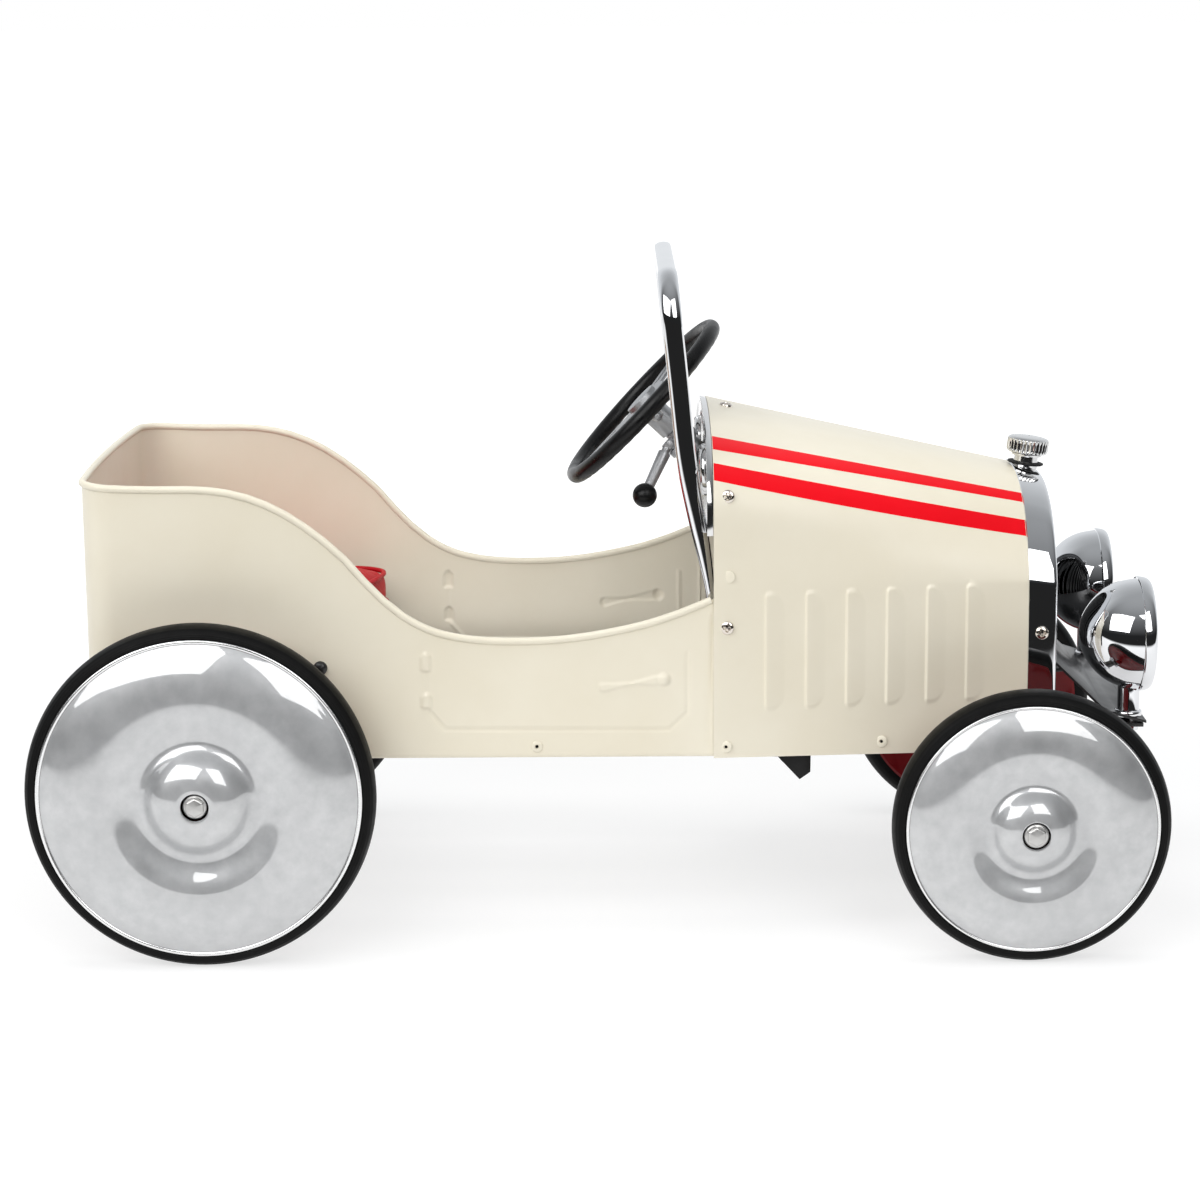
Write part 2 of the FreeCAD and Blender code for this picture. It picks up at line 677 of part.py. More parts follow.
def cap_nut(x, r, side, out):
    # shouldered hexagon nut with a small dome
    f = WHEEL_FACE
    hexagon = []
    for i in range(6):
        a = math.radians(60 * i)
        hexagon.append((x + 9.0 * math.cos(a), r + 9.0 * math.sin(a)))
    y0 = side * (f + 1.0)
    y1 = side * (f + out - 3.0)
    body = prism_xz(hexagon, y0, y1)
    shoulder = [(0, f), (8.6, f), (8.6, f + out - 4.5), (6.8, f + out - 2.8), (0, f + out - 2.8)]
    body = body.common(revolve_y(shoulder, x, r, side))
    dome = [(0, f + out - 4), (5.4, f + out - 4), (5.2, f + out - 1.6), (3.2, f + out), (0, f + out)]
    tip = revolve_y(dome, x, r, side)
    washer = revolve_y([(AXLE_R, f - 1.4), (11.0, f - 1.4), (11.0, f + 1.2), (AXLE_R, f + 1.2)], x, r, side)
    return fuse([body, tip, washer])


def wheel(name, x, r, side):
    put("tyre_" + name, tyre(x, r, side))
    put("wheel_disc_" + name, wheel_disc(x, r, side))
    put("wheel_cover_" + name, wheel_cover(x, r, side))


# ---------------------------------------------------------------- crank axle, push rods, pedals
def crank_axle():
    x = REAR_X
    z = REAR_R
    parts = []
    pins = {-1: x + CRANK_THROW, 1: x - CRANK_THROW}
    for s in (-1, 1):
        px = pins[s]
        parts.append(bar((x, s * 54.0, z), (x, s * 204.0, z), AXLE_R))
        parts.append(bar((px, s * 42.5, z), (px, s * 57.5, z), AXLE_R))
        for y0, y1 in ((42.0, 46.0), (54.0, 58.0)):
            ya = min(s * y0, s * y1)
            yb = max(s * y0, s * y1)
            web = box(min(x, px), max(x, px), ya, yb, z - 8, z + 8)
            parts.append(web)
            parts.append(bar((x, ya, z), (x, yb, z), 8.0))
            parts.append(bar((px, ya, z), (px, yb, z), 8.0))
        for y0, y1 in ((114.0, 117.0), (141.0, 144.0)):
            parts.append(bar((x, s * y0, z), (x, s * y1, z), 9.0))
        parts.append(bar((x, s * 160.0, z), (x, s * 164.6, z), 9.0))
    parts.append(bar((x, -44.0, z), (x, 44.0, z), AXLE_R))
    return fuse(parts)


def pedal_pin(side):
    # centre of the joint between lever and push rod, at rest
    x, z = PEDAL_PIVOT
    a = math.radians(PEDAL_SWING if side < 0 else -PEDAL_SWING)
    return x + PEDAL_ARM * math.sin(a), z - PEDAL_ARM * math.cos(a)


def push_rod(side):
    px = REAR_X + (CRANK_THROW if side < 0 else -CRANK_THROW)
    pz = REAR_R
    qx, qz = pedal_pin(side)
    y0 = min(side * 47.0, side * 53.0)
    y1 = max(side * 47.0, side * 53.0)
    d = V(qx - px, 0, qz - pz)
    length = d.Length
    d.normalize()
    n = V(-d.z, 0, d.x)
    a = V(px, 0, pz) + d * 8
    b = V(px, 0, pz) + d * (length - 6)
    strap = prism([(a + n * 5.5 + V(0, y0, 0)), (b + n * 5.5 + V(0, y0, 0)), (b - n * 5.5 + V(0, y0, 0)),
                   (a - n * 5.5 + V(0, y0, 0))], (0, y1 - y0, 0))
    big = bar((px, y0, pz), (px, y1, pz), 12.0)
    small = bar((qx, y0, qz), (qx, y1, qz), 9.5)
    inner = side * 47.0
    head = bar((qx, inner, qz), (qx, inner - side * 4.0, qz), 6.5)
    out = fuse([strap, big, small, head])
    return out.cut(bar((px, -90, pz), (px, 90, pz), AXLE_R + RUN))


def pedal_lever(side):
    x, z = PEDAL_PIVOT
    qx, qz = pedal_pin(side)
    d = V(qx - x, 0, qz - z)
    d.normalize()
    n = V(-d.z, 0, d.x)
    y0 = min(side * 55.4, side * 60.4)
    y1 = max(side * 55.4, side * 60.4)
    a = V(x, y0, z)
    b = V(qx, y0, qz)
    strap = prism([a + n * 8, b + n * 8, b - n * 8, a - n * 8], (0, y1 - y0, 0))
    parts = [strap, bar((x, y0, z), (x, y1, z), 10.0), bar((qx, y0, qz), (qx, y1, qz), 9.5)]
    parts.append(bar((x, side * 54.6, z), (x, side * 62.8, z), 9.0))
    # joint bolt, stopping just short of the push rod
    parts.append(bar((qx, side * 53.6, qz), (qx, side * 63.5, qz), 4.0))
    parts.append(bar((qx, side * 60.4, qz), (qx, side * 64.4, qz), 6.0))
    out = fuse(parts)
    return out.cut(bar((x, -90, z), (x, 90, z), 4.0 + RUN))


def pedal_pad(side):
    # block under the driver's foot, drawn for the forward pedal, then swung to its own place
    pts = [(127.5, 130.0), (145.3, 110.7), (153.1, 116.3), (153.2, 128.0), (150.5, 146.0), (146.0, 168.0),
           (132.0, 168.0), (126.5, 146.0)]
    y0 = min(side * 60.4, side * 112.0)
    y1 = max(side * 60.4, side * 112.0)
    pad = prism_xz(pts, y0, y1)
    x, z = PEDAL_PIVOT
    if side > 0:
        pad.rotate(V(x, 0, z), V(0, 1, 0), 2 * PEDAL_SWING)
    return pad.cut(SHAPES["pedal_lever_right"]).cut(SHAPES["pedal_lever_left"])


# ---------------------------------------------------------------- steering
def axis_vector():
    return V(-math.cos(TILT), 0, math.sin(TILT))


def column_point(t, down, y):
    # t runs down the column from the middle of the wheel, down is at right angles to it
    u = axis_vector()
    n = V(-math.sin(TILT), 0, -math.cos(TILT))
    return WHEEL_CENTRE - u * t + n * down + V(0, y, 0)


def column_cylinder(t0, t1, r):
    a = column_point(t0, 0, 0)
    b = column_point(t1, 0, 0)
    return Part.makeCylinder(r, (b - a).Length, a, b - a)


def to_wheel(shape):
    # shapes drawn flat, with +Z towards the driver and +X towards the top of the wheel
    m = FreeCAD.Matrix()
    e1 = V(math.sin(TILT), 0, math.cos(TILT))
    u = axis_vector()
    m.A11, m.A21, m.A31 = e1.x, e1.y, e1.z
    m.A12, m.A22, m.A32 = 0, 1, 0
    m.A13, m.A23, m.A33 = u.x, u.y, u.z
    m.A14, m.A24, m.A34 = WHEEL_CENTRE.x, WHEEL_CENTRE.y, WHEEL_CENTRE.z
    out = shape.copy()
    out.Placement = FreeCAD.Placement(m).multiply(out.Placement)
    return out


def steering_rim():
    return to_wheel(Part.makeTorus(WHEEL_R, RIM_TUBE_R))


def steering_spokes():
    low = -2.6
    parts = [Part.makeCylinder(21.0, 2.4, V(0, 0, low))]
    for a in (180, 60, -60):
        arm = prism_xy([(10, -11), (WHEEL_R - 1, -7.5), (WHEEL_R - 1, 7.5), (10, 11)], low, low + 2.4)
        slot = prism_xy([(30, -3.6), (60, -2.6), (60, 2.6), (30, 3.6)], low - 1, low + 4)
        arm = arm.cut(slot)
        arm.rotate(V(0, 0, 0), V(0, 0, 1), a)
        parts.append(arm)
    button = Part.makeCylinder(13.0, 4.0, V(0, 0, low + 2.0))
    parts.append(button)
    return to_wheel(fuse(parts)).cut(SHAPES["steering_rim"])


def steering_hub():
    hub = column_cylinder(2.6, 30.0, 10.0)
    p = column_point(14.0, 0, -8.0)
    head = Part.makeSphere(4.2, p + V(0, -1.0, 0))
    return hub.fuse(head).removeSplitter()


def steering_column():
    t1 = (292.5 - WHEEL_CENTRE.x) / math.cos(TILT)
    rod = column_cylinder(30.0, t1, 5.0)
    t_arm = t1 - 13.0
    a = column_point(t_arm - 2, 0, 0)
    b = column_point(t_arm + 2, 0, 0)
    boss = column_cylinder(t_arm - 4, t_arm + 4, 9.0)
    d = b - a
    n = V(-math.sin(TILT), 0, -math.cos(TILT))
    y = V(0, 6.0, 0)
    arm = prism([a - y, a + y, a + y + n * ARM, a - y + n * ARM], (d.x, d.y, d.z))
    end = Part.makeCylinder(6.0, d.Length, a + n * ARM, d)
    ball_at = column_point(t1, ARM, 0)
    pin = bar(a + n * ARM, ball_at, 2.6)
    ball = Part.makeSphere(4.0, ball_at)
    return fuse([rod, boss, arm, end, pin, ball])


def column_tube():
    # fixed outer tube of the column, from below the wheel to the dashboard
    t0 = 31.0
    t1 = 64.0
    return column_cylinder(t0, t1, 8.0).cut(column_cylinder(t0 - 1, t1 + 1, 5.0 + RUN))


def column_bearings():
    # dashboard bush and the foot bearing on the second cross member
    collar = column_cylinder(56.0, 66.0, 16.0).common(column_cylinder(50, 70, 16.0))
    core = column_cylinder(54.0, 74.0, 12.8)
    bush = core.cut(box(0, 60, -40, 40, 0, 500)).fuse(collar).removeSplitter()
    bush = bush.cut(column_cylinder(40, 90, 8.0)).cut(SHAPES["dashboard_panel"])
    t = (258.0 - WHEEL_CENTRE.x) / math.cos(TILT)
    sleeve = column_cylinder(t - 9, t + 9, 10.0)
    foot = box(252, 264, -12, 12, 145.0, 158.0)
    base = box(250, 266, -24, 24, 145.0, 147.4)
    bearing = fuse([sleeve, foot, base]).cut(column_cylinder(t - 40, t + 40, 5.0 + RUN))
    return Part.makeCompound([bush, bearing])


def lever_clamp():
    ring = column_cylinder(38.0, 46.0, 11.5).cut(column_cylinder(30, 60, 8.0))
    a = column_point(38.0, 8.0, -9.0)
    b = column_point(46.0, 8.0, -9.0)
    lug = bar(a, b, 5.5).cut(column_cylinder(30, 60, 8.0))
    ear = bar(column_point(39.5, 9.0, -14.0), column_point(44.5, 9.0, -14.0), 5.0)
    out = fuse([ring, lug, ear])
    return out.cut(bar(column_point(36, 9.0, -14.0), column_point(48, 9.0, -14.0), 2.0 + RUN))


def hand_lever(part):
    p = column_point(34.4, 9.0, -14.0)
    ball_at = V(35.0, -34.0, 306.4)
    if part == "ball":
        return Part.makeSphere(9.0, ball_at)
    d = ball_at - p
    d.normalize()
    neck = bar(p, p + d * 9.0, 3.1)
    foot = p + d * 8.0
    rod = Part.makeCone(4.7, 3.8, (ball_at - foot).Length - 7.0, foot, d)
    pivot = bar(column_point(32.0, 9.0, -14.0), column_point(37.4, 9.0, -14.0), 5.0)
    pin = bar(column_point(34.0, 9.0, -14.0), column_point(49.0, 9.0, -14.0), 2.0)
    nut = bar(column_point(46.5, 9.0, -14.0), column_point(49.0, 9.0, -14.0), 4.0)
    return fuse([neck, rod, pivot, pin, nut]).cut(SHAPES["lever_ball"])


def knuckle(side):
    x = FRONT_X
    y = side * KING_Y
    parts = [bar((x, y, 99.0), (x, y, 141.0), AXLE_R), box(x - 8.5, x + 8.5, y - 8.5, y + 8.5, 90.0, 99.5)]
    parts.append(bar((x, y, FRONT_R), (x, side * 204.0, FRONT_R), AXLE_R))
    parts.append(bar((x, side * 161.0, FRONT_R), (x, side * 164.6, FRONT_R), 9.0))
    parts.append(bar((x, y, 134.4), (x, y, 141.0), 9.0))
    parts.append(bar((x, y, 99.5), (x, y, 105.4), 10.0))
    parts.append(box(x - ARM, x, y - 7, y + 7, 99.5, 104.0))
    parts.append(bar((x - ARM, y, 99.5), (x - ARM, y, 104.0), 7.0))
    parts.append(bar((x - ARM, y, 93.0), (x - ARM, y, 105.0), 4.0))
    parts.append(bar((x - ARM, y, 91.0), (x - ARM, y, 94.6), 6.5))
    return fuse(parts)


def tie_rod():
    x = FRONT_X - ARM
    strip = box(x - 5, x + 5, -KING_Y, KING_Y, 95.0, 99.0)
    parts = [strip]
    for s in (-1, 1):
        parts.append(bar((x, s * KING_Y, 95.0), (x, s * KING_Y, 99.0), 9.0))
    z = 104.1
    parts.append(box(x - 2.5, x + 2.5, -11, 11, 96.0, 117.0))
    out = fuse(parts)
    slot = box(x - 4, x + 4, -4.05, 4.05, z - 4.6, z + 9.0)
    out = out.cut(slot)
    for s in (-1, 1):
        out = out.cut(bar((x, s * KING_Y, 90), (x, s * KING_Y, 110), 4.0 + RUN))
    return out


# ---------------------------------------------------------------- fasteners
def screw(pos, out, r):
    # domed cross-recess head with a short shank behind it
    pos = V(*pos)
    out = V(*out)
    out.normalize()
    z = V(0, 0, 1)
    head = Part.makeSphere(r * 1.35, V(0, 0, -r * 0.75)).common(Part.makeCylinder(r, r, V(0, 0, 0)))
    shank = Part.makeCylinder(r * 0.42, 3.4, V(0, 0, -3.3))
    cross = Part.makeBox(r * 1.1, r * 0.26, r, V(-r * 0.55, -r * 0.13, r * 0.32))
    cross2 = Part.makeBox(r * 0.26, r * 1.1, r, V(-r * 0.13, -r * 0.55, r * 0.32))
    s = head.fuse(shank).cut(cross).cut(cross2)
    s.Placement = FreeCAD.Placement(pos, FreeCAD.Rotation(z, out))
    return s


def rivet(pos, out, r):
    pos = V(*pos)
    out = V(*out)
    head = Part.makeSphere(r * 1.5, V(0, 0, -r * 1.0)).common(Part.makeCylinder(r, r, V(0, 0, 0)))
    shank = Part.makeCylinder(r * 0.5, 3.4, V(0, 0, -3.3))
    hole = Part.makeCylinder(r * 0.32, r, V(0, 0, 0.2))
    s = head.fuse(shank).cut(hole)
    s.Placement = FreeCAD.Placement(pos, FreeCAD.Rotation(V(0, 0, 1), out))
    return s


def side_y(x, z_level):
    # half width of the bonnet side below the knee
    side, top = section_points(x, 0, 0)
    table = sorted([(z, y) for y, z in side + top[1:]])
    for i in range(len(table) - 1):
        if table[i][0] <= z_level <= table[i + 1][0]:
            t = (z_level - table[i][0]) / (table[i + 1][0] - table[i][0])
            return table[i][1] + t * (table[i + 1][1] - table[i][1])
    return 0.0


def body_screws():
    k = 38.0 / 226.0
    right = [screw((91.3, -side_y(91.3, 231.4) - 0.05, 231.4), (-k, -1, 0), 4.6),
             screw((92.0, -side_y(92.0, 324.0) - 0.1, 324.0), (-k, -1, 0.12), 4.6)]
    nose = screw((318.0, -111.3, 218.0), (-0.05, -1, 0.05), 4.6)
    right.append(nose)
    out = right + [mirror_y(s) for s in right]
    out.append(screw((96.0, 0, 368.0), (0.2, 0, 1), 4.6))
    return Part.makeCompound(out)


def pop_rivets():
    k = 38.0 / 226.0
    right = [rivet((-43.3, -TUB_HALF, 146.0), (0, -1, 0), 4.0)]
    for x, z in ((90.8, 145.0), (202.5, 143.5)):
        right.append(rivet((x, -149.0 + (x - TUB_FRONT) * k, z), (-k, -1, 0), 4.0))
    return Part.makeCompound(right + [mirror_y(s) for s in right])


def seat_bolts():
    s = bar((-195.5, -TUB_HALF - 3.6, 203.9), (-195.5, -TUB_HALF, 203.9), 5.0)
    s = s.fuse(bar((-195.5, -TUB_HALF - 1.0, 203.9), (-195.5, -140.0, 203.9), 2.5))
    s = s.fuse(bar((-195.5, -143.4, 203.9), (-195.5, -140.4, 203.9), 5.0)).removeSplitter()
    return both_sides(s)


# ---------------------------------------------------------------- build
def build():
    put("tub", tub())
    put("bonnet", bonnet())
    put("radiator_surround", radiator_surround())
    put("radiator_grille", radiator_grille())
    put("radiator_cap", radiator_cap())
    put("front_apron", front_apron())
    put("dashboard_panel", dashboard_panel())
    put("gauge_bezels", gauges("bezel"))
    put("gauge_faces", gauges("face"))
    put("windscreen_frame", windscreen_frame())
    put("headlight_shell_right", lamp_shell(-LAMP_Y))
    put("headlight_shell_left", lamp_shell(LAMP_Y))
    put("headlight_bezels", Part.makeCompound([lamp_bezel(-LAMP_Y), lamp_bezel(LAMP_Y)]))
    put("headlight_lenses", Part.makeCompound([lamp_lens(-LAMP_Y), lamp_lens(LAMP_Y)]))
    posts = [lamp_post(-LAMP_Y), lamp_post(LAMP_Y)]
    put("headlight_posts", Part.makeCompound(posts))
    put("headlight_bracket", lamp_bracket().cut(SHAPES["headlight_posts"]))
    put("chassis_frame", chassis_frame())
    put("front_axle_beam", front_axle_beam())
    put("pedal_hangers", pedal_hangers())
    put("pedal_pivot_rod", pedal_pivot_rod())
    put("seat_pan", seat_pan())
    put("seat_cushion", seat_cushion())
    put("column_bearings", column_bearings())
    put("column_tube", column_tube())
    put("lever_clamp", lever_clamp())
    put("lever_ball", hand_lever("ball"))
    put("hand_lever", hand_lever("rod"))
    put("steering_rim", steering_rim())
    put("steering_spokes", steering_spokes())
    put("steering_hub", steering_hub())
    put("steering_column", steering_column())
    put("knuckle_left", knuckle(1))
    put("knuckle_right", mirror_y(SHAPES["knuckle_left"]))
    put("tie_rod", tie_rod())
    wheel("rear_right", REAR_X, REAR_R, -1)
    wheel("rear_left", REAR_X, REAR_R, 1)
    wheel("front_right", FRONT_X, FRONT_R, -1)
    wheel("front_left", FRONT_X, FRONT_R, 1)
    put("cap_nuts_rear", Part.makeCompound([cap_nut(REAR_X, REAR_R, s, 21.5) for s in (-1, 1)]))
    put("cap_nut_front_right", cap_nut(FRONT_X, FRONT_R, -1, 18.5))
    put("cap_nut_front_left", cap_nut(FRONT_X, FRONT_R, 1, 18.5))
    put("crank_axle", crank_axle())
    for name, s in (("right", -1), ("left", 1)):
        put("push_rod_" + name, push_rod(s))
        put("pedal_lever_" + name, pedal_lever(s))
    put("pedal_pad_right", pedal_pad(-1))
    put("pedal_pad_left", pedal_pad(1))
    put("body_screws", body_screws())
    put("pop_rivets", pop_rivets())
    put("seat_bolts", seat_bolts())
    # sheets are drilled for what passes through them
    drill("tub", ["pop_rivets", "seat_bolts"])
    drill("bonnet", ["pop_rivets", "body_screws"])
    drill("radiator_surround", ["body_screws"])
    drill("chassis_frame", ["pop_rivets"])
    drill("seat_pan", ["seat_bolts"])
    drill("front_apron", ["headlight_posts"])
    drill("cap_nuts_rear", ["crank_axle"])
    drill("cap_nut_front_right", ["knuckle_right"])
    drill("cap_nut_front_left", ["knuckle_left"])
    drill("dashboard_panel", ["windscreen_frame", "column_tube"])


def drill(name, cutters):
    for c in cutters:
        SHAPES[name] = SHAPES[name].cut(SHAPES[c])
    # crumbs between a drilled hole and a raised edge fall away
    kept = [s for s in SHAPES[name].Solids if s.Volume > 5.0]
    SHAPES[name] = kept[0] if len(kept) == 1 else Part.makeCompound(kept)


def main():
    build()
    os.makedirs("parts", exist_ok=True)
    for name in sorted(SHAPES):
        shape = SHAPES[name]
        shape.exportStep("parts/" + name + ".step")
        b = shape.BoundBox
        print("%-22s solids %2d valid %s  x %.1f %.1f  y %.1f %.1f  z %.1f %.1f" % (
            name, len(shape.Solids), shape.isValid(), b.XMin, b.XMax, b.YMin, b.YMax, b.ZMin, b.ZMax))
    print("parts:", len(SHAPES))


main()
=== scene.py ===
import json
import math

import bmesh
import bpy
import numpy as np
from mathutils import Matrix, Vector


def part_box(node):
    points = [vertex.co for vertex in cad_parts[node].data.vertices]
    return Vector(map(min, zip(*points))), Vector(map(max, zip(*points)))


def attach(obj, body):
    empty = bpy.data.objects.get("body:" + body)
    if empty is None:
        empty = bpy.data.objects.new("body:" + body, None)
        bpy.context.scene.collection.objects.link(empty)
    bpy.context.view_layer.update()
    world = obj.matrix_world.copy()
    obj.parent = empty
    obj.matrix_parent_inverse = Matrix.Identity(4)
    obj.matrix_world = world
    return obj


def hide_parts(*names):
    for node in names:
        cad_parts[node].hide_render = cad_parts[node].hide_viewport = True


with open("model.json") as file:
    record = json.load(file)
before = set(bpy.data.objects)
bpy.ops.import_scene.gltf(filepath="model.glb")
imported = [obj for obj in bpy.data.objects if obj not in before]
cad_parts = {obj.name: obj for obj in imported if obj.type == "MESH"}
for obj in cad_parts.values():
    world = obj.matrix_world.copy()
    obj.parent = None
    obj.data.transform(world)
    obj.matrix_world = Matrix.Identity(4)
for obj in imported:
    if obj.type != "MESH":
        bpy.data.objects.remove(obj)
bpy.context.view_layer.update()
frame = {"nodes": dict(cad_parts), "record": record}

# Looks of a child's pedal car. Lengths are millimetres until a mesh is made, which is in metres.
MM = 0.001
NODE_BODY = {n: b for b, ns in frame["record"]["behaviour"]["bodies"].items() for n in ns}
NODE_SLOT = {s["node"]: s["material_slot"] for s in frame["record"]["subparts"]}

# ---------------------------------------------------------------- driving dimensions
SHEET = 1.6
TUB_HALF = 147.0
TUB_BOTTOM = 137.5
TUB_FRONT = 82.0
CORNER_R = 24.0
CORNER_AT = (-338.5, 123.0)
BACK_BOW = 3.5
BEAD_R = 2.65
RIM = [(-400, 340.0), (-366, 337.5), (-340, 335.6), (-310, 334.6), (-275, 334.2), (-253, 331.0),
       (-237, 326.0), (-221, 318.5), (-206, 309.0), (-190, 296.5), (-174, 281.5), (-159, 263.5),
       (-138, 244.5), (-117, 233.0), (-96, 227.6), (-74, 225.3), (-52, 224.9), (-31, 225.6),
       (-9, 228.0), (12, 231.6), (34, 236.6), (55, 243.3), (69.5, 249.0), (83, 254.8), (100, 262.5)]
BONNET_FRONT = 308.0
SIDE_REAR = [(149.0, 137.0), (149.0, 180.0), (149.0, 222.0), (149.0, 263.0)]
SIDE_FRONT = [(111.0, 131.5), (111.0, 172.0), (110.8, 214.0), (108.5, 254.5)]
TOP_REAR = [(149.0, 263.0), (148.2, 298.0), (145.6, 326.0), (137.5, 339.5), (119.0, 352.5),
            (86.0, 362.3), (45.0, 368.6), (0.0, 370.5)]
TOP_FRONT = [(108.5, 254.5), (105.0, 266.0), (98.5, 277.5), (89.0, 290.0), (75.0, 303.0),
             (56.0, 313.5), (30.0, 320.5), (0.0, 322.2)]
LOUVRES = 6
LOUVRE_X = 118.4
LOUVRE_PITCH = 28.9
LOUVRE_W = 14.5
LOUVRE_LOW = 169.6
LOUVRE_HIGH = 256.0
LOUVRE_PROUD = 1.6
SURROUND_DEPTH = 21.0
SURROUND_WALL = 17.0
WHEEL_FACE = 200.0
WHEELS = {"rear_right": (-277.2, 122.8, -1), "rear_left": (-277.2, 122.8, 1),
          "front_right": (302.5, 97.5, -1), "front_left": (302.5, 97.5, 1)}
WHEEL_CENTRE = np.array([34.3, 0.0, 371.4])
TILT = math.radians(43.4)
WHEEL_R = 74.0
RIM_TUBE_R = 6.2
SCREEN_BAR = 9.0
LAMP_Y = 95.0
LAMP_Z = 213.5
LAMP_BACK = 347.0
GAUGE_Y = 70.0
GAUGE_Z = 331.0


# ---------------------------------------------------------------- curves
def cubic(points, count):
    """Evenly spread points on a smooth curve through the given ones."""
    p = np.array(points, float)
    t = np.concatenate([[0.0], np.cumsum(np.linalg.norm(np.diff(p, axis=0), axis=1))])
    n = len(p)
    h = np.diff(t)
    a = np.zeros((n, n))
    r = np.zeros_like(p)
    a[0, 0] = a[-1, -1] = 1.0
    for i in range(1, n - 1):
        a[i, i - 1:i + 2] = h[i - 1], 2 * (h[i - 1] + h[i]), h[i]
        r[i] = 6 * ((p[i + 1] - p[i]) / h[i] - (p[i] - p[i - 1]) / h[i - 1])
    m = np.linalg.solve(a, r)
    u = np.linspace(0, t[-1], count)
    k = np.clip(np.searchsorted(t, u, side="right") - 1, 0, n - 2)
    d = (u - t[k])[:, None]
    e = (t[k + 1] - u)[:, None]
    hk = h[k][:, None]
    bend = (m[k] * e ** 3 + m[k + 1] * d ** 3) / (6 * hk)
    return bend + (p[k] / hk - m[k] * hk / 6) * e + (p[k + 1] / hk - m[k + 1] * hk / 6) * d


def rim_height(x):
    """Height of the cockpit rim at x, a smooth curve through RIM."""
    n = len(RIM)
    slope = []
    for i in range(n):
        a = RIM[max(i - 1, 0)]
        b = RIM[min(i + 1, n - 1)]
        slope.append((b[1] - a[1]) / (b[0] - a[0]))
    i = 0
    while i < n - 2 and x > RIM[i + 1][0]:
        i += 1
    h = RIM[i + 1][0] - RIM[i][0]
    t = (x - RIM[i][0]) / h
    a = 2 * t ** 3 - 3 * t ** 2 + 1
    b = t ** 3 - 2 * t ** 2 + t
    return a * RIM[i][1] + b * h * slope[i] + (1 - a) * RIM[i + 1][1] + (t ** 3 - t ** 2) * h * slope[i + 1]


def soft_step(v):
    v = np.clip(v, 0.0, 1.0)
    return v * v * (3 - 2 * v)


def arc(cx, cy, r, a0, a1, count):
    """Points of a circular arc, angles in degrees."""
    return [(cx + r * math.cos(math.radians(a)), cy + r * math.sin(math.radians(a)))
            for a in np.linspace(a0, a1, count)]


# ---------------------------------------------------------------- meshes
def added(name, data):
    """A new object in the scene for a mesh, light or camera."""
    piece = bpy.data.objects.new(name, data)
    bpy.context.scene.collection.objects.link(piece)
    return piece


def grid_faces(rows, cols, wrap_rows=False, wrap_cols=False, start=0):
    """Quads over a grid of points stored row by row."""
    faces = []
    for i in range(rows if wrap_rows else rows - 1):
        for j in range(cols if wrap_cols else cols - 1):
            a = i * cols + j
            b = i * cols + (j + 1) % cols
            c = ((i + 1) % rows) * cols + (j + 1) % cols
            d = ((i + 1) % rows) * cols + j
            faces.append((start + a, start + b, start + c, start + d))
    return faces


def make(name, parts, material, node=None, body=None, nodes=(), sharp=40.0, slot=None):
    """One piece from a list of (points in mm, faces). It rides on the node's body and replaces the node."""
    verts = []
    faces = []
    for points, quads in parts:
        base = len(verts)
        verts.extend([tuple(float(c) * MM for c in p) for p in points])
        faces.extend([tuple(base + i for i in q) for q in quads])
    mesh = bpy.data.meshes.new(name)
    mesh.from_pydata(verts, [], faces)
    bm = bmesh.new()
    bm.from_mesh(mesh)
    bmesh.ops.remove_doubles(bm, verts=bm.verts, dist=1e-6)
    bmesh.ops.recalc_face_normals(bm, faces=bm.faces)
    bm.to_mesh(mesh)
    bm.free()
    return dress(added(name, mesh), material, node, body, nodes, sharp, slot)


def dress(piece, material, node=None, body=None, nodes=(), sharp=40.0, slot=None):
    """Smooth shading, material, body and the CAD nodes that the piece stands for; the slot is looked up but
    not used.
    """
    mesh = piece.data
    mesh.shade_smooth()
    mesh.set_sharp_from_angle(angle=math.radians(sharp))
    mesh.materials.clear()
    mesh.materials.append(material)
    stands_for = ([node] if node else []) + list(nodes)
    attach(piece, body or NODE_BODY[stands_for[0]])
    if stands_for:
        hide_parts(*stands_for)
        slot = slot or NODE_SLOT[stands_for[0]]
    return piece


def revolved(profile, segments, place, closed=False):
    """A profile of (radius, height) turned about an axis; place maps (u, v, height) to a point."""
    ring = []
    for r, h in profile:
        for k in range(segments):
            a = 2 * math.pi * k / segments
            ring.append(place(r * math.cos(a), r * math.sin(a), h))
    return ring, grid_faces(len(profile), segments, wrap_rows=closed, wrap_cols=True)


def about_y(x, z, side):
    """Turning about the wheel axis; height is the distance outwards from the middle of the car."""
    return lambda u, v, h: (x + u, side * h, z + v)


def about_x(y, z):
    return lambda u, v, h: (h, y + u, z + v)


def about(origin, direction):
    """Turning about any axis through origin; height runs along direction."""
    d = np.array(direction, float)
    d /= np.linalg.norm(d)
    ref = np.array([0.0, 0.0, 1.0]) if abs(d[2]) < 0.9 else np.array([1.0, 0.0, 0.0])
    e1 = np.cross(ref, d)
    e1 /= np.linalg.norm(e1)
    e2 = np.cross(d, e1)
    o = np.array(origin, float)
    return lambda u, v, h: tuple(o + e1 * u + e2 * v + d * h)


def swept(path, section, closed=False):
    """A closed section carried along a path; section(i) gives the points of ring i."""
    rings = [section(i) for i in range(len(path))]
    cols = len(rings[0])
    points = [p for ring in rings for p in ring]
    quads = grid_faces(len(rings), cols, wrap_rows=closed, wrap_cols=True)
    if not closed:
        quads.append(tuple(range(cols)))
        quads.append(tuple((len(rings) - 1) * cols + i for i in reversed(range(cols))))
    return points, quads


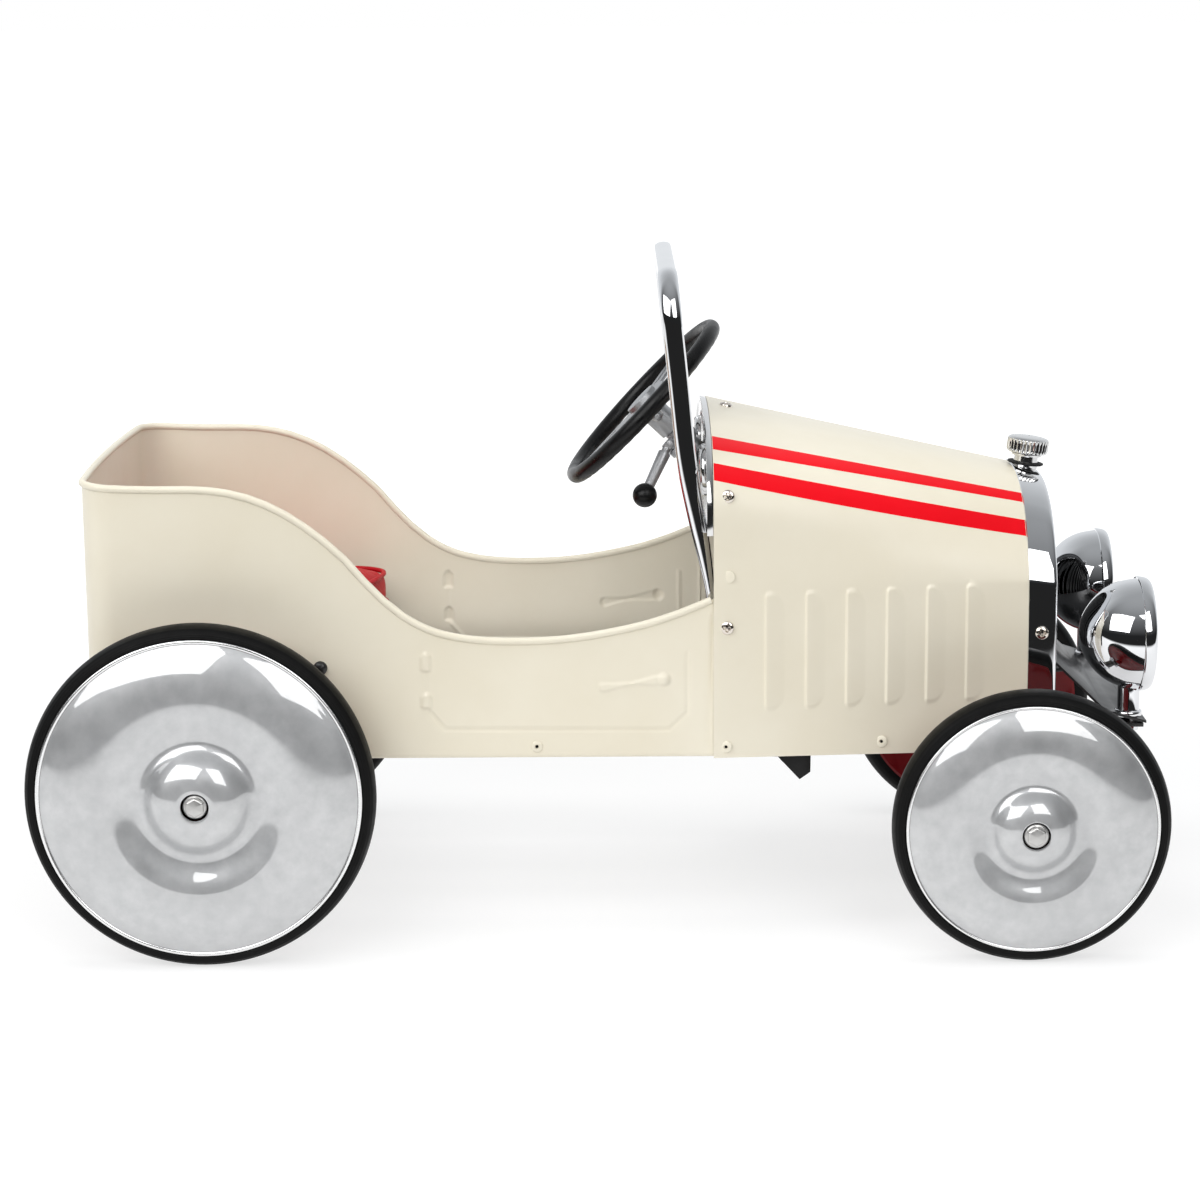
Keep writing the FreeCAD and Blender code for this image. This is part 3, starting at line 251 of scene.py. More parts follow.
def tangents(path, closed=False):
    p = np.array(path, float)
    if closed:
        t = np.roll(p, -1, axis=0) - np.roll(p, 1, axis=0)
    else:
        t = np.gradient(p, axis=0)
    return t / np.linalg.norm(t, axis=1)[:, None]


def round_tube(path, radius, count=16, closed=False):
    """A round tube along a path, with frames carried along it so that it doesn't twist."""
    p = np.array(path, float)
    t = tangents(p, closed)
    ref = np.array([0.0, 0.0, 1.0]) if abs(t[0][2]) < 0.9 else np.array([1.0, 0.0, 0.0])
    side = np.cross(t[0], ref)
    sides = []
    for v in t:
        side = side - v * np.dot(side, v)
        side = side / np.linalg.norm(side)
        sides.append(side)

    def ring(i):
        up = np.cross(sides[i], t[i])
        r = radius[i] if hasattr(radius, "__len__") else radius
        angles = np.linspace(0, 2 * math.pi, count, endpoint=False)
        return [p[i] + r * (math.cos(a) * sides[i] + math.sin(a) * up) for a in angles]

    return swept(p, ring, closed)


def bevel_copy(node, material, width, sharp=35.0, name=None):
    """A finished copy of a CAD node: joined faces, rounded edges and clean shading."""
    source = frame["nodes"][node]
    mesh = source.data.copy()
    mesh.name = name or node + "_finish"
    bm = bmesh.new()
    bm.from_mesh(mesh)
    bmesh.ops.remove_doubles(bm, verts=bm.verts, dist=2e-5)
    bmesh.ops.dissolve_limit(bm, angle_limit=math.radians(1.0), verts=bm.verts, edges=bm.edges)
    bm.to_mesh(mesh)
    bm.free()
    piece = added(mesh.name, mesh)
    if width:
        mod = piece.modifiers.new("edges", "BEVEL")
        mod.width = width * MM
        mod.segments = 2
        mod.limit_method = "ANGLE"
        mod.angle_limit = math.radians(32)
        mod.use_clamp_overlap = True
        mod.miter_outer = "MITER_ARC"
        settle(piece)
    return dress(piece, material, node, sharp=sharp)


def settle(piece):
    """Applies a piece's modifiers to its mesh."""
    graph = bpy.context.evaluated_depsgraph_get()
    graph.update()
    done = bpy.data.meshes.new_from_object(piece.evaluated_get(graph))
    piece.modifiers.clear()
    piece.data = done


# ---------------------------------------------------------------- materials
def srgb(r, g, b):
    """A colour given as 0-255 display values, as the linear values that a shader takes."""
    out = []
    for c in (r, g, b):
        c = c / 255.0
        out.append(c / 12.92 if c <= 0.04045 else ((c + 0.055) / 1.055) ** 2.4)
    return tuple(out) + (1.0,)


class Shader:
    """A material with one principled shader, and helpers that add procedural detail to it."""

    def __init__(self, name, color, metallic=0.0, roughness=0.4, **sockets):
        self.material = bpy.data.materials.new(name)
        self.material.use_nodes = True
        self.tree = self.material.node_tree
        self.main = self.tree.nodes["Principled BSDF"]
        self.color = color
        self.roughness = roughness
        self.main.inputs["Base Color"].default_value = color
        self.main.inputs["Metallic"].default_value = metallic
        self.main.inputs["Roughness"].default_value = roughness
        for key, value in sockets.items():
            label = key.replace("_", " ").title().replace("Ior", "IOR")
            self.main.inputs[label].default_value = value
        self.coords = self.node("ShaderNodeTexCoord").outputs["Object"]

    def node(self, kind, **inputs):
        n = self.tree.nodes.new(kind)
        for key, value in inputs.items():
            n.inputs[key].default_value = value
        return n

    def link(self, a, b):
        self.tree.links.new(a, b)

    def noise(self, size, detail=4.0, stretch=(1, 1, 1)):
        """Noise whose blobs are about size millimetres across."""
        mapping = self.node("ShaderNodeMapping")
        mapping.inputs["Scale"].default_value = stretch
        self.link(self.coords, mapping.inputs["Vector"])
        n = self.node("ShaderNodeTexNoise", Scale=1000.0 / size, Detail=detail, Roughness=0.55)
        self.link(mapping.outputs["Vector"], n.inputs["Vector"])
        return n.outputs["Fac"]

    def ramp(self, value, low, high, out_low, out_high):
        n = self.node("ShaderNodeMapRange")
        n.inputs["From Min"].default_value = low
        n.inputs["From Max"].default_value = high
        n.inputs["To Min"].default_value = out_low
        n.inputs["To Max"].default_value = out_high
        self.link(value, n.inputs["Value"])
        return n.outputs["Result"]

    def blotch(self, size, other, low=0.35, high=0.7, detail=4.0, stretch=(1, 1, 1)):
        """Lets a second colour show through in soft blotches."""
        factor = self.ramp(self.noise(size, detail, stretch), low, high, 0.0, 1.0)
        return self.mix(factor, other)

    def mix(self, factor, other):
        n = self.tree.nodes.new("ShaderNodeMix")
        n.data_type = "RGBA"
        sockets = [s for s in n.inputs if s.type == "RGBA"]
        base = self.main.inputs["Base Color"]
        if base.links:
            self.link(base.links[0].from_socket, sockets[0])
        else:
            sockets[0].default_value = self.color
        sockets[1].default_value = other
        self.link(factor, n.inputs[0])
        self.link([s for s in n.outputs if s.type == "RGBA"][0], base)
        return self

    def rough(self, size, spread, detail=3.0, stretch=(1, 1, 1)):
        """Roughness that wanders by spread either way."""
        low = max(self.roughness - spread, 0.01)
        high = min(self.roughness + spread, 1.0)
        out = self.ramp(self.noise(size, detail, stretch), 0.3, 0.7, low, high)
        self.link(out, self.main.inputs["Roughness"])
        return self

    def bump(self, size, height, detail=3.0, stretch=(1, 1, 1)):
        """Surface relief, height in millimetres."""
        b = self.node("ShaderNodeBump", Strength=1.0, Distance=height * MM)
        self.link(self.noise(size, detail, stretch), b.inputs["Height"])
        normal = self.main.inputs["Normal"]
        if normal.links:
            self.link(normal.links[0].from_socket, b.inputs["Normal"])
        self.link(b.outputs["Normal"], normal)
        return self

    def painted_edge_highlight_and_wear(self, other, start=0.56, end=0.66):
        """A lighter colour along sharp outer edges, broken up by noise: a painted edge highlight with a
        little wear.
        """
        geometry = self.node("ShaderNodeNewGeometry")
        edge = self.ramp(geometry.outputs["Pointiness"], start, end, 0.0, 1.0)
        speckle = self.ramp(self.noise(3.0, 5.0), 0.45, 0.6, 0.0, 1.0)
        n = self.node("ShaderNodeMath")
        n.operation = "MULTIPLY"
        self.link(edge, n.inputs[0])
        self.link(speckle, n.inputs[1])
        return self.mix(n.outputs[0], other)


def painted(name, color, other, edge_highlight_and_wear, gloss, shine):
    """Sprayed enamel: slight orange peel, faint colour drift, a little dust in the gloss."""
    s = Shader(name, color, roughness=0.42, coat_weight=gloss, coat_roughness=0.16, specular_ior_level=shine)
    s.blotch(90.0, other).rough(26.0, 0.05).bump(2.6, 0.018).bump(0.5, 0.004)
    # sharp edges take the lighter edge colour: painted edge highlight with a little wear
    return s.painted_edge_highlight_and_wear(edge_highlight_and_wear).material


def plated(name, color, roughness, drift):
    """Bright plating, with faint cloudiness and the slight waviness of polished sheet."""
    s = Shader(name, color, metallic=1.0, roughness=roughness)
    s.blotch(40.0, tuple(c * 0.95 for c in color[:3]) + (1.0,)).rough(14.0, drift).bump(22.0, 0.01)
    return s.material


def rubber(name, color, other, roughness, shine):
    s = Shader(name, color, roughness=roughness, specular_ior_level=shine)
    s.blotch(14.0, other).rough(9.0, 0.08).bump(0.9, 0.03).bump(6.0, 0.03)
    return s.material


def satin_dish():
    """Brushed and lacquered wheel cover: cloudy satin metal under a clear coat."""
    s = Shader("satin_cover_metal", srgb(186, 187, 188), metallic=0.72, roughness=0.44,
               coat_weight=1.0, coat_roughness=0.02, coat_ior=2.4)
    s.blotch(46.0, srgb(204, 205, 206), 0.3, 0.75, 6.0).blotch(11.0, srgb(172, 173, 175), 0.35, 0.9, 7.0)
    s.rough(24.0, 0.06, 6.0).bump(1.4, 0.006, 5.0, (1, 1, 3.0))
    return s.material


def leathercloth():
    """Red padded vinyl with a fine grain."""
    s = Shader("red_leathercloth", srgb(190, 6, 26), roughness=0.5, specular_ior_level=0.25)
    s.blotch(28.0, srgb(166, 4, 20)).rough(5.0, 0.07)
    cells = s.node("ShaderNodeTexVoronoi", Scale=1000.0 / 1.7, Randomness=1.0)
    s.link(s.coords, cells.inputs["Vector"])
    b = s.node("ShaderNodeBump", Strength=0.8, Distance=0.12 * MM)
    s.link(cells.outputs["Distance"], b.inputs["Height"])
    s.link(b.outputs["Normal"], s.main.inputs["Normal"])
    return s.bump(9.0, 0.12).material


def lamp_glass():
    s = Shader("lamp_glass", (0.95, 0.97, 0.98, 1.0), roughness=0.04, transmission_weight=1.0, ior=1.45)
    return s.bump(7.0, 0.05, 2.0, (0.2, 2.5, 0.2)).material


# name of the material, colour, second colour, lighter colour painted on sharp edges as edge highlight and
# light wear, then gloss and shine
PAINTS = {
    "cream": ("cream_enamel", (233, 226, 207), (228, 220, 199), (240, 236, 224), 0.25, 0.5),
    "red_stripe": ("red_stripe_enamel", (236, 2, 24), (226, 1, 20), (238, 24, 40), 0.06, 0.12),
    # wheel disc red: real red paint drawn much darker than the other reds, painted shade in its colour
    "disc_red": ("dark_red_enamel", (104, 3, 10), (90, 2, 8), (130, 26, 30), 0.1, 0.25),
    "black": ("black_powder_coat", (14, 14, 15), (20, 20, 21), (60, 60, 60), 0.25, 0.5),
    "dial": ("dial_white", (236, 234, 226), (230, 227, 218), (236, 234, 226), 0.25, 0.5),
    "dial_ink": ("dial_ink", (22, 22, 24), (30, 30, 30), (22, 22, 24), 0.25, 0.5)}
# name, colour, roughness and how far it drifts
METALS = {
    "chrome": ("mirror_chrome", (232, 233, 235), 0.035, 0.015),
    "soft_chrome": ("soft_chrome", (222, 222, 222), 0.11, 0.015),
    "nickel": ("nickel_screw", (222, 214, 204), 0.12, 0.015),
    "zinc": ("zinc_plate", (176, 178, 182), 0.34, 0.08),
    "silver": ("satin_silver", (184, 185, 187), 0.46, 0.04),
    "nut": ("tumbled_nut", (206, 205, 203), 0.38, 0.07),
    # the cover's rolled lip: the cover's own metal in a lighter, smoother copy, a painted highlight
    "lip": ("cover_lip", (240, 240, 240), 0.22, 0.015),
    "reflector": ("lamp_reflector", (226, 227, 228), 0.12, 0.015)}
# name, colour, second colour, roughness and shine
RUBBERS = {
    "tyre": ("black_tyre_rubber", (5, 5, 5), (9, 9, 9), 0.5, 0.16),
    "grip": ("steering_rim_plastic", (6, 6, 7), (10, 10, 10), 0.33, 0.3),
    "pedal": ("pedal_rubber", (16, 16, 17), (26, 26, 26), 0.6, 0.3),
    # near-black used as painted shade in the rivet holes
    "hole": ("shadow_black", (10, 9, 9), (14, 13, 13), 0.8, 0.3)}


def build_materials():
    m = {"cover": satin_dish(), "seat": leathercloth(), "glass": lamp_glass()}
    for recipe, table in ((painted, PAINTS), (plated, METALS), (rubber, RUBBERS)):
        for key, values in table.items():
            m[key] = recipe(*(srgb(*v) if isinstance(v, tuple) else v for v in values))
    return m


MAT = build_materials()


# ---------------------------------------------------------------- tub
def plan_line():
    """Outline of the tub from the front right corner round the back: (x, y, outward x, outward y)."""
    fine = list(np.arange(70.0, -130.0, -1.2))
    plain = list(np.linspace(-130.0, CORNER_AT[0], 32))[:-1]
    xs = [85.0, 83.2, 82.0, 81.2, 80.4, 79.6, 77.0, 74.0] + fine + plain
    right = [(x, -TUB_HALF, 0.0, -1.0) for x in xs]
    for a in np.linspace(-90.0, -176.7, 15):
        c = math.cos(math.radians(a))
        s = math.sin(math.radians(a))
        right.append((CORNER_AT[0] + CORNER_R * c, -CORNER_AT[1] + CORNER_R * s, c, s))
    big = (CORNER_AT[1] ** 2 + BACK_BOW ** 2) / (2 * BACK_BOW)
    centre = CORNER_AT[0] - CORNER_R - BACK_BOW + big
    half = math.asin(CORNER_AT[1] / big)
    for a in np.linspace(half, 0.0, 16)[1:]:
        right.append((centre - big * math.cos(a), -big * math.sin(a), -math.cos(a), -math.sin(a)))
    left = [(x, -y, nx, -ny) for x, y, nx, ny in reversed(right[:-1])]
    return right + left


def groove(x, z, a, b, width, depth):
    """Pressed line from a to b, both (x, z)."""
    ax, az = a
    dx, dz = b[0] - ax, b[1] - az
    t = np.clip(((x - ax) * dx + (z - az) * dz) / (dx * dx + dz * dz), 0, 1)
    d = np.hypot(x - ax - t * dx, z - az - t * dz) / width
    return -depth * np.clip(1 - d * d, 0, 1) ** 2


def hinge(x, z, low, high, cap):
    """Raised hinge barrel with a pointed cap."""
    middle = -121.1
    half = 3.7 * (1 - soft_step((z - high) / (cap - high)) * 0.9)
    body = np.sqrt(np.clip(1 - ((x - middle) / half) ** 2, 0, 1))
    return 2.0 * body * soft_step((z - low + 0.7) / 1.4) * soft_step((cap - z) / 2.4)


def handle(x, z):
    """Raised door handle: a long bone shape that ends in a round knob."""
    ax, az, bx, bz = 4.0, 188.5, 46.7, 194.1
    length = math.hypot(bx - ax, bz - az)
    ux, uz = (bx - ax) / length, (bz - az) / length
    t = (x - ax) * ux + (z - az) * uz
    d = np.abs((x - ax) * uz - (z - az) * ux)
    s = np.clip(t / length, 0, 1)
    r = 3.6 - 2.3 * np.sin(np.clip(s / 0.86, 0, 1) * math.pi) ** 1.3
    over = np.hypot(np.clip(-t, 0, None), d)
    shape = 1.3 * soft_step((r - over) / 1.5 + 0.25) * (t < length)
    knob = np.hypot(x - bx, z - bz) / 4.6
    return np.maximum(shape, 2.6 * np.sqrt(np.clip(1 - knob ** 2, 0, 1)))


def pressing(x, z):
    """How far the door pressings stand out of the side of the tub."""
    line = [(-118.6, 171.0), (-108.3, 158.6), (50.6, 157.6), (63.6, 169.6), (63.6, 213.0)]
    out = np.zeros_like(x)
    for a, b in zip(line[:-1], line[1:]):
        deep = 1.0 if b[1] < 200 else 0.75
        out = np.minimum(out, groove(x, z, a, b, 2.3, deep))
    out = np.minimum(out, groove(x, z, (-121.1, 186.0), (-121.1, 201.0), 1.6, 0.35))
    out = np.minimum(out, groove(x, z, (79.6, 148.0), (81.0, 240.0), 1.3, 0.9))
    for raised in (hinge(x, z, 201.4, 210.8, 216.0), hinge(x, z, 174.2, 181.6, 186.4), handle(x, z)):
        out = np.where(raised > 0.05, raised, out)
    return out


def tub_skin():
    line = plan_line()
    low_rows = [TUB_BOTTOM + 1.4, 141.0, 144.0, 148.0, 152.0] + list(np.arange(154.5, 217.0, 1.15))
    outer_rings = []
    for x, y, nx, ny in line:
        top = rim_height(x) - BEAD_R
        heights = np.array(low_rows + list(np.linspace(217.0, top, 13))[1:])
        side = abs(ny) > 0.999
        out = pressing(np.full_like(heights, x), heights) if side else np.zeros_like(heights)
        ring = [(x - 12.0 * nx, y - 12.0 * ny, TUB_BOTTOM + SHEET),
                (x - 12.0 * nx, y - 12.0 * ny, TUB_BOTTOM),
                (x - 1.6 * nx, y - 1.6 * ny, TUB_BOTTOM), (x - 0.6 * nx, y - 0.6 * ny, TUB_BOTTOM + 0.4)]
        ring += [(x + o * nx, y + o * ny, z) for o, z in zip(out, heights)]
        inner = [(x + (o - SHEET) * nx, y + (o - SHEET) * ny, z) for o, z in zip(out, heights)]
        ring += list(reversed(inner))
        ring.append((x - 2.6 * nx, y - 2.6 * ny, TUB_BOTTOM + SHEET))
        outer_rings.append(ring)
    points = [p for ring in outer_rings for p in ring]
    cols = len(outer_rings[0])
    quads = grid_faces(len(outer_rings), cols, wrap_cols=True)
    rim = [(x - 0.5 * nx, y - 0.5 * ny, rim_height(x) - BEAD_R)
           for x, y, nx, ny in line[::2] if x < TUB_FRONT]
    make("tub_skin", [(points, quads)], MAT["cream"], "tub", sharp=55)
    make("rolled_rim", [round_tube(rim, BEAD_R, 14)], MAT["cream"], body="chassis", slot="body_paint")


# ---------------------------------------------------------------- bonnet
SIDE_ROWS = 72
CROWN_ROWS = 97


def bonnet_section(side, top):
    """Points round half a bonnet section and over to the other side: right side, crown, left side."""
    flank = cubic(side, 40)
    heights = np.concatenate([np.linspace(side[0][1], 165.0, 9)[:-1], np.linspace(165.0, 258.0, 60)])
    heights = np.concatenate([heights, np.linspace(258.0, 263.0, 5)[1:]])
    bottom, crease = side[0][1], side[-1][1]
    heights = bottom + (heights - heights[0]) * (crease - bottom) / (heights[-1] - heights[0])
    right = np.stack([np.interp(heights, flank[:, 1], flank[:, 0]), heights], 1)
    full = [(y, z) for y, z in top] + [(-y, z) for y, z in reversed(top[:-1])]
    crown = cubic(full, CROWN_ROWS)
    right_signed = np.stack([-right[:, 0], right[:, 1]], 1)
    crown_signed = np.stack([-crown[:, 0], crown[:, 1]], 1)
    left = np.stack([right[::-1, 0], right[::-1, 1]], 1)
    return np.concatenate([right_signed, crown_signed[1:-1], left])


SECTION_REAR = bonnet_section(SIDE_REAR, TOP_REAR)
SECTION_FRONT = bonnet_section(SIDE_FRONT, TOP_FRONT)


def section_at(x):
    f = (x - TUB_FRONT) / (BONNET_FRONT - TUB_FRONT)
    return SECTION_REAR + (SECTION_FRONT - SECTION_REAR) * f


def section_normals(points):
    t = np.gradient(points, axis=0)
    n = np.stack([-t[:, 1], t[:, 0]], 1)
    return n / np.linalg.norm(n, axis=1)[:, None]


def louvre_relief(x, z):
    """Pressed louvres: a rounded lip at the rear edge that fades forward into the sheet."""
    out = np.zeros_like(z)
    for i in range(LOUVRES):
        a = x - (LOUVRE_X + i * LOUVRE_PITCH)
        if a < -1.6 or a > LOUVRE_W + 1.0:
            continue
        rise = soft_step((a + 0.7) / 1.9)
        fade = np.clip(1 - (a - 1.4) / (LOUVRE_W - 1.4), 0, 1) ** 1.15 if a > 1.4 else 1.0
        bow = max(a - 4.5, 0.0) / 9.5
        tail = max(3.0 - a, 0.0) / 4.0
        top = LOUVRE_HIGH - 12.0 * bow ** 2 - 3.0 * tail ** 2
        low = LOUVRE_LOW + 9.0 * bow ** 2 + 2.5 * tail ** 2
        window = soft_step((top - z) / 2.6) * soft_step((z - low) / 2.6)
        out = np.maximum(out, LOUVRE_PROUD * rise * fade * window)
    return out


def bonnet_columns():
    xs = [TUB_FRONT, 83.0, 86.0, 90.0, 96.0, 102.0, 108.0, 113.0]
    for i in range(LOUVRES):
        start = LOUVRE_X + i * LOUVRE_PITCH
        xs += [start + a for a in np.concatenate([np.arange(-1.6, 3.0, 0.6), np.arange(3.0, 16.0, 1.0)])]
        xs += [start + a for a in (18.5, 22.0, 25.0)]
    return [x for x in xs if x < BONNET_FRONT - 6] + [BONNET_FRONT - 4, BONNET_FRONT - 1.2, BONNET_FRONT]


def bonnet_skin():
    outer = []
    inner = []
    columns = bonnet_columns()
    for x in columns:
        p = section_at(x)
        n = section_normals(p)
        relief = np.zeros(len(p))
        flank = np.abs(n[:, 0]) > 0.9
        relief[flank] = louvre_relief(x, p[flank, 1])
        o = p + n * relief[:, None]
        i = p + n * (relief - SHEET)[:, None]
        outer.append([(x, y, z) for y, z in o])
        inner.append([(x, y, z) for y, z in i])
    rings = [a + list(reversed(b)) for a, b in zip(outer, inner)]
    points = [p for ring in rings for p in ring]
    count = len(rings[0])
    quads = grid_faces(len(rings), count, wrap_cols=True)
    half = count // 2
    for base in (0, (len(rings) - 1) * count):
        for j in range(half - 1):
            quads.append((base + j, base + j + 1, base + count - 2 - j, base + count - 1 - j))
    make("bonnet_skin", [(points, quads)], MAT["cream"], "bonnet", sharp=50)


# crown places as a share of the way from the right-hand crease to the left-hand one: rear, front
STRIPES = [((0.2335, 0.2350), (0.2795, 0.2725)), ((0.1655, 0.1250), (0.1985, 0.1730))]


def stripes():
    parts = []
    for mirror in (1, -1):
        for low, high in STRIPES:
            rings = []
            for x in np.linspace(TUB_FRONT + 0.4, BONNET_FRONT - 0.3, 60):
                f = (x - TUB_FRONT) / (BONNET_FRONT - TUB_FRONT)
                p = section_at(x)
                n = section_normals(p)
                start = SIDE_ROWS - 1
                u0 = start + (CROWN_ROWS - 1) * (low[0] + (low[1] - low[0]) * f)
                u1 = start + (CROWN_ROWS - 1) * (high[0] + (high[1] - high[0]) * f)
                ring = []
                for u, lift in [(u0, -0.3), (u0, 0.1)] + [(u, 0.16) for u in np.linspace(u0, u1, 9)[1:-1]] + [
                        (u1, 0.1), (u1, -0.3)]:
                    k = int(u)
                    w = u - k
                    q = p[k] * (1 - w) + p[k + 1] * w + (n[k] * (1 - w) + n[k + 1] * w) * lift
                    ring.append((x, mirror * q[0], q[1]))
                rings.append(ring)
            points = [q for ring in rings for q in ring]
            parts.append((points, grid_faces(len(rings), len(rings[0]), wrap_cols=True)))
    make("bonnet_stripes", parts, MAT["red_stripe"], body="chassis", sharp=60)


# ---------------------------------------------------------------- nose
def nose_line(x, grow):
    """Arch of the nose at x, moved outwards by grow: right foot, over the top, left foot."""
    p = SECTION_FRONT + section_normals(SECTION_FRONT) * grow
    drop = 4.4 * (x - BONNET_FRONT) / SURROUND_DEPTH
    z = p[:, 1] - drop * (p[:, 1] - 140.0) / 182.0
    return np.stack([np.full(len(p), x), p[:, 0], z], 1)


def radiator_surround():
    """Deep bright arch with a rolled front lip, and a cross bar at its foot."""
    x0 = BONNET_FRONT
    x1 = x0 + SURROUND_DEPTH
    lip = [(x1 - 2.2 + 2.2 * math.sin(a), -2.2 + 2.2 * math.cos(a))
           for a in np.linspace(0.25, math.pi / 2, 6)]
    crown = [(x, 0.78 - 0.6 * (x - x0) / 19.0) for x in np.linspace(x0 + 2, x1 - 3, 6)]
    section = [(x0, 0.1), (x0 + 0.5, 0.75)] + crown
    section += lip + [(x1, -3.6), (x1 - 0.7, -4.6), (x1 - 2.0, -8.0), (x1 - 3.4, -13.0), (x1 - 5.0, -16.2),
                      (x1 - 6.6, -SURROUND_WALL), (x0 + 1.0, -SURROUND_WALL)]
    rows = [nose_line(x, g) for x, g in section]
    points = [tuple(row[j]) for j in range(len(rows[0])) for row in rows]
    cols = len(section)
    count = len(rows[0])
    quads = grid_faces(count, cols, wrap_cols=True)
    quads.append(tuple(range(cols)))
    quads.append(tuple((count - 1) * cols + i for i in reversed(range(cols))))
    foot = []
    edge = [(x0 + 0.6, 132.4), (x0 + 1.4, 131.9), (x1 - 3, 131.9), (x1 - 1.2, 132.6), (x1 - 0.4, 134.0),
            (x1 - 0.6, 150.0), (x1 - 1.6, 156.0), (x1 - 4.0, 158.0), (x0 + 1.4, 158.0), (x0 + 0.6, 157.0)]
    for y in (-96.0, 96.0):
        foot += [(x, y, z) for x, z in edge]
    n = len(edge)
    sides = [(i, (i + 1) % n, n + (i + 1) % n, n + i) for i in range(n)]
    sides += [tuple(range(n)), tuple(range(2 * n - 1, n - 1, -1))]
    make("radiator_shell", [(points, quads), (foot, sides)], MAT["chrome"], "radiator_surround", sharp=42)


def radiator_cap():
    """Knurled filler cap on a bright neck with a dark gasket."""
    lean = math.radians(7.0)
    axis = (math.sin(lean), 0.0, math.cos(lean))
    place = about((318.5, 0.0, 321.0), axis)
    teeth = 30
    per = 10
    profile = [(8.9, 8.0), (11.0, 8.0), (11.2, 8.4), (11.2, 9.4), (13.6, 9.9), (14.6, 10.5), (15.0, 11.4),
               (15.3, 12.2), (15.35, 14.0), (15.35, 17.0), (15.3, 19.4), (15.0, 20.4), (14.2, 21.2),
               (12.6, 21.8), (9.0, 22.3), (5.0, 22.6), (0.6, 22.7)]
    ring = []
    for r, h in profile:
        cut = soft_step((h - 11.0) / 1.0) * soft_step((20.6 - h) / 1.0)
        for k in range(teeth * per):
            a = 2 * math.pi * k / (teeth * per)
            dent = 1.15 * cut * (0.5 - 0.5 * math.cos(teeth * a)) ** 0.7
            ring.append(place((r - dent) * math.cos(a), (r - dent) * math.sin(a), h))
    quads = grid_faces(len(profile), teeth * per, wrap_cols=True)
    neck = revolved([(9.0, -2.0), (9.4, 0.0), (9.2, 3.0), (9.0, 8.2)], 64, place)
    make("filler_cap", [(ring, quads), neck], MAT["soft_chrome"], "radiator_cap", sharp=50)
    gasket = revolved([(9.2, 1.6), (12.6, 1.7), (13.4, 2.3), (13.2, 3.1), (10.4, 3.7), (9.1, 3.9)], 64, place)
    make("filler_cap_gasket", [gasket], MAT["pedal"], body="chassis", slot="pedal_rubber")


# ---------------------------------------------------------------- dashboard
# faces of a small slab: its top points 0-3, then its base points 4-7
SLAB = [(0, 1, 2, 3), (4, 7, 6, 5), (0, 4, 5, 1), (1, 5, 6, 2), (2, 6, 7, 3), (3, 7, 4, 0)]


def dial(y):
    """One round instrument: rolled bezel, white face, ticks and a needle."""
    x = TUB_FRONT - 3.2
    bezel = [(15.6, x - 0.2), (19.0, x), (19.0, x - 1.4), (18.7, x - 2.8), (17.9, x - 4.0), (16.9, x - 4.6),
             (16.1, x - 4.2), (15.6, x - 3.2)]
    place = about_x(y, GAUGE_Z)
    ring = revolved(bezel, 72, place, closed=True)
    face = revolved([(0.01, x - 2.9), (15.7, x - 2.9), (15.8, x - 0.3)], 72, place)
    marks = []
    for k in range(25):
        a = math.radians(-135 + 270 * k / 24.0)
        long = k % 4 == 0
        r0, r1, w = (11.0, 14.2, 0.42) if long else (12.6, 14.2, 0.22)
        c, s = math.sin(a), math.cos(a)
        quad = [(r0, -w), (r1, -w), (r1, w), (r0, w)]
        top = [(x - 3.0, y + r * c + t * s, GAUGE_Z + r * s - t * c) for r, t in quad]
        base = [(px + 0.25, py, pz) for px, py, pz in top]
        marks.append((top + base, SLAB))
    a = math.radians(-60.0)
    c, s = math.sin(a), math.cos(a)
    quad = [(-3.0, -0.7), (12.4, -0.18), (12.4, 0.18), (-3.0, 0.7)]
    top = [(x - 3.35, y + r * c + t * s, GAUGE_Z + r * s - t * c) for r, t in quad]
    base = [(px + 0.3, py, pz) for px, py, pz in top]
    marks.append((top + base, SLAB))
    marks.append(revolved([(0.01, x - 3.9), (1.2, x - 3.8), (1.7, x - 3.3), (1.7, x - 2.9)], 24, place))
    return ring, face, marks


def dashboard():
    rings = []
    faces = []
    marks = []
    for y in (-GAUGE_Y, GAUGE_Y):
        ring, face, ink = dial(y)
        rings.append(ring)
        faces.append(face)
        marks += ink
    make("dial_bezels", rings, MAT["soft_chrome"], "gauge_bezels", sharp=60)
    make("dial_faces", faces, MAT["dial"], "gauge_faces")
    make("dial_marks", marks, MAT["dial_ink"], body="chassis", slot="gauge_face")
    bevel_copy("dashboard_panel", MAT["soft_chrome"], 0.35, name="dash_panel")


# ---------------------------------------------------------------- windscreen
SCREEN_LEAN = [(250.0, 80.9), (262.0, 79.0), (298.0, 72.5), (334.0, 65.6), (391.0, 59.2), (440.0, 54.2),
               (465.0, 51.8), (490.0, 49.5)]
SCREEN_WIDE = [(250.0, 3.6), (262.0, 4.0), (298.0, 6.2), (334.0, 7.0), (391.0, 7.2), (465.0, 7.2),
               (490.0, 7.0)]


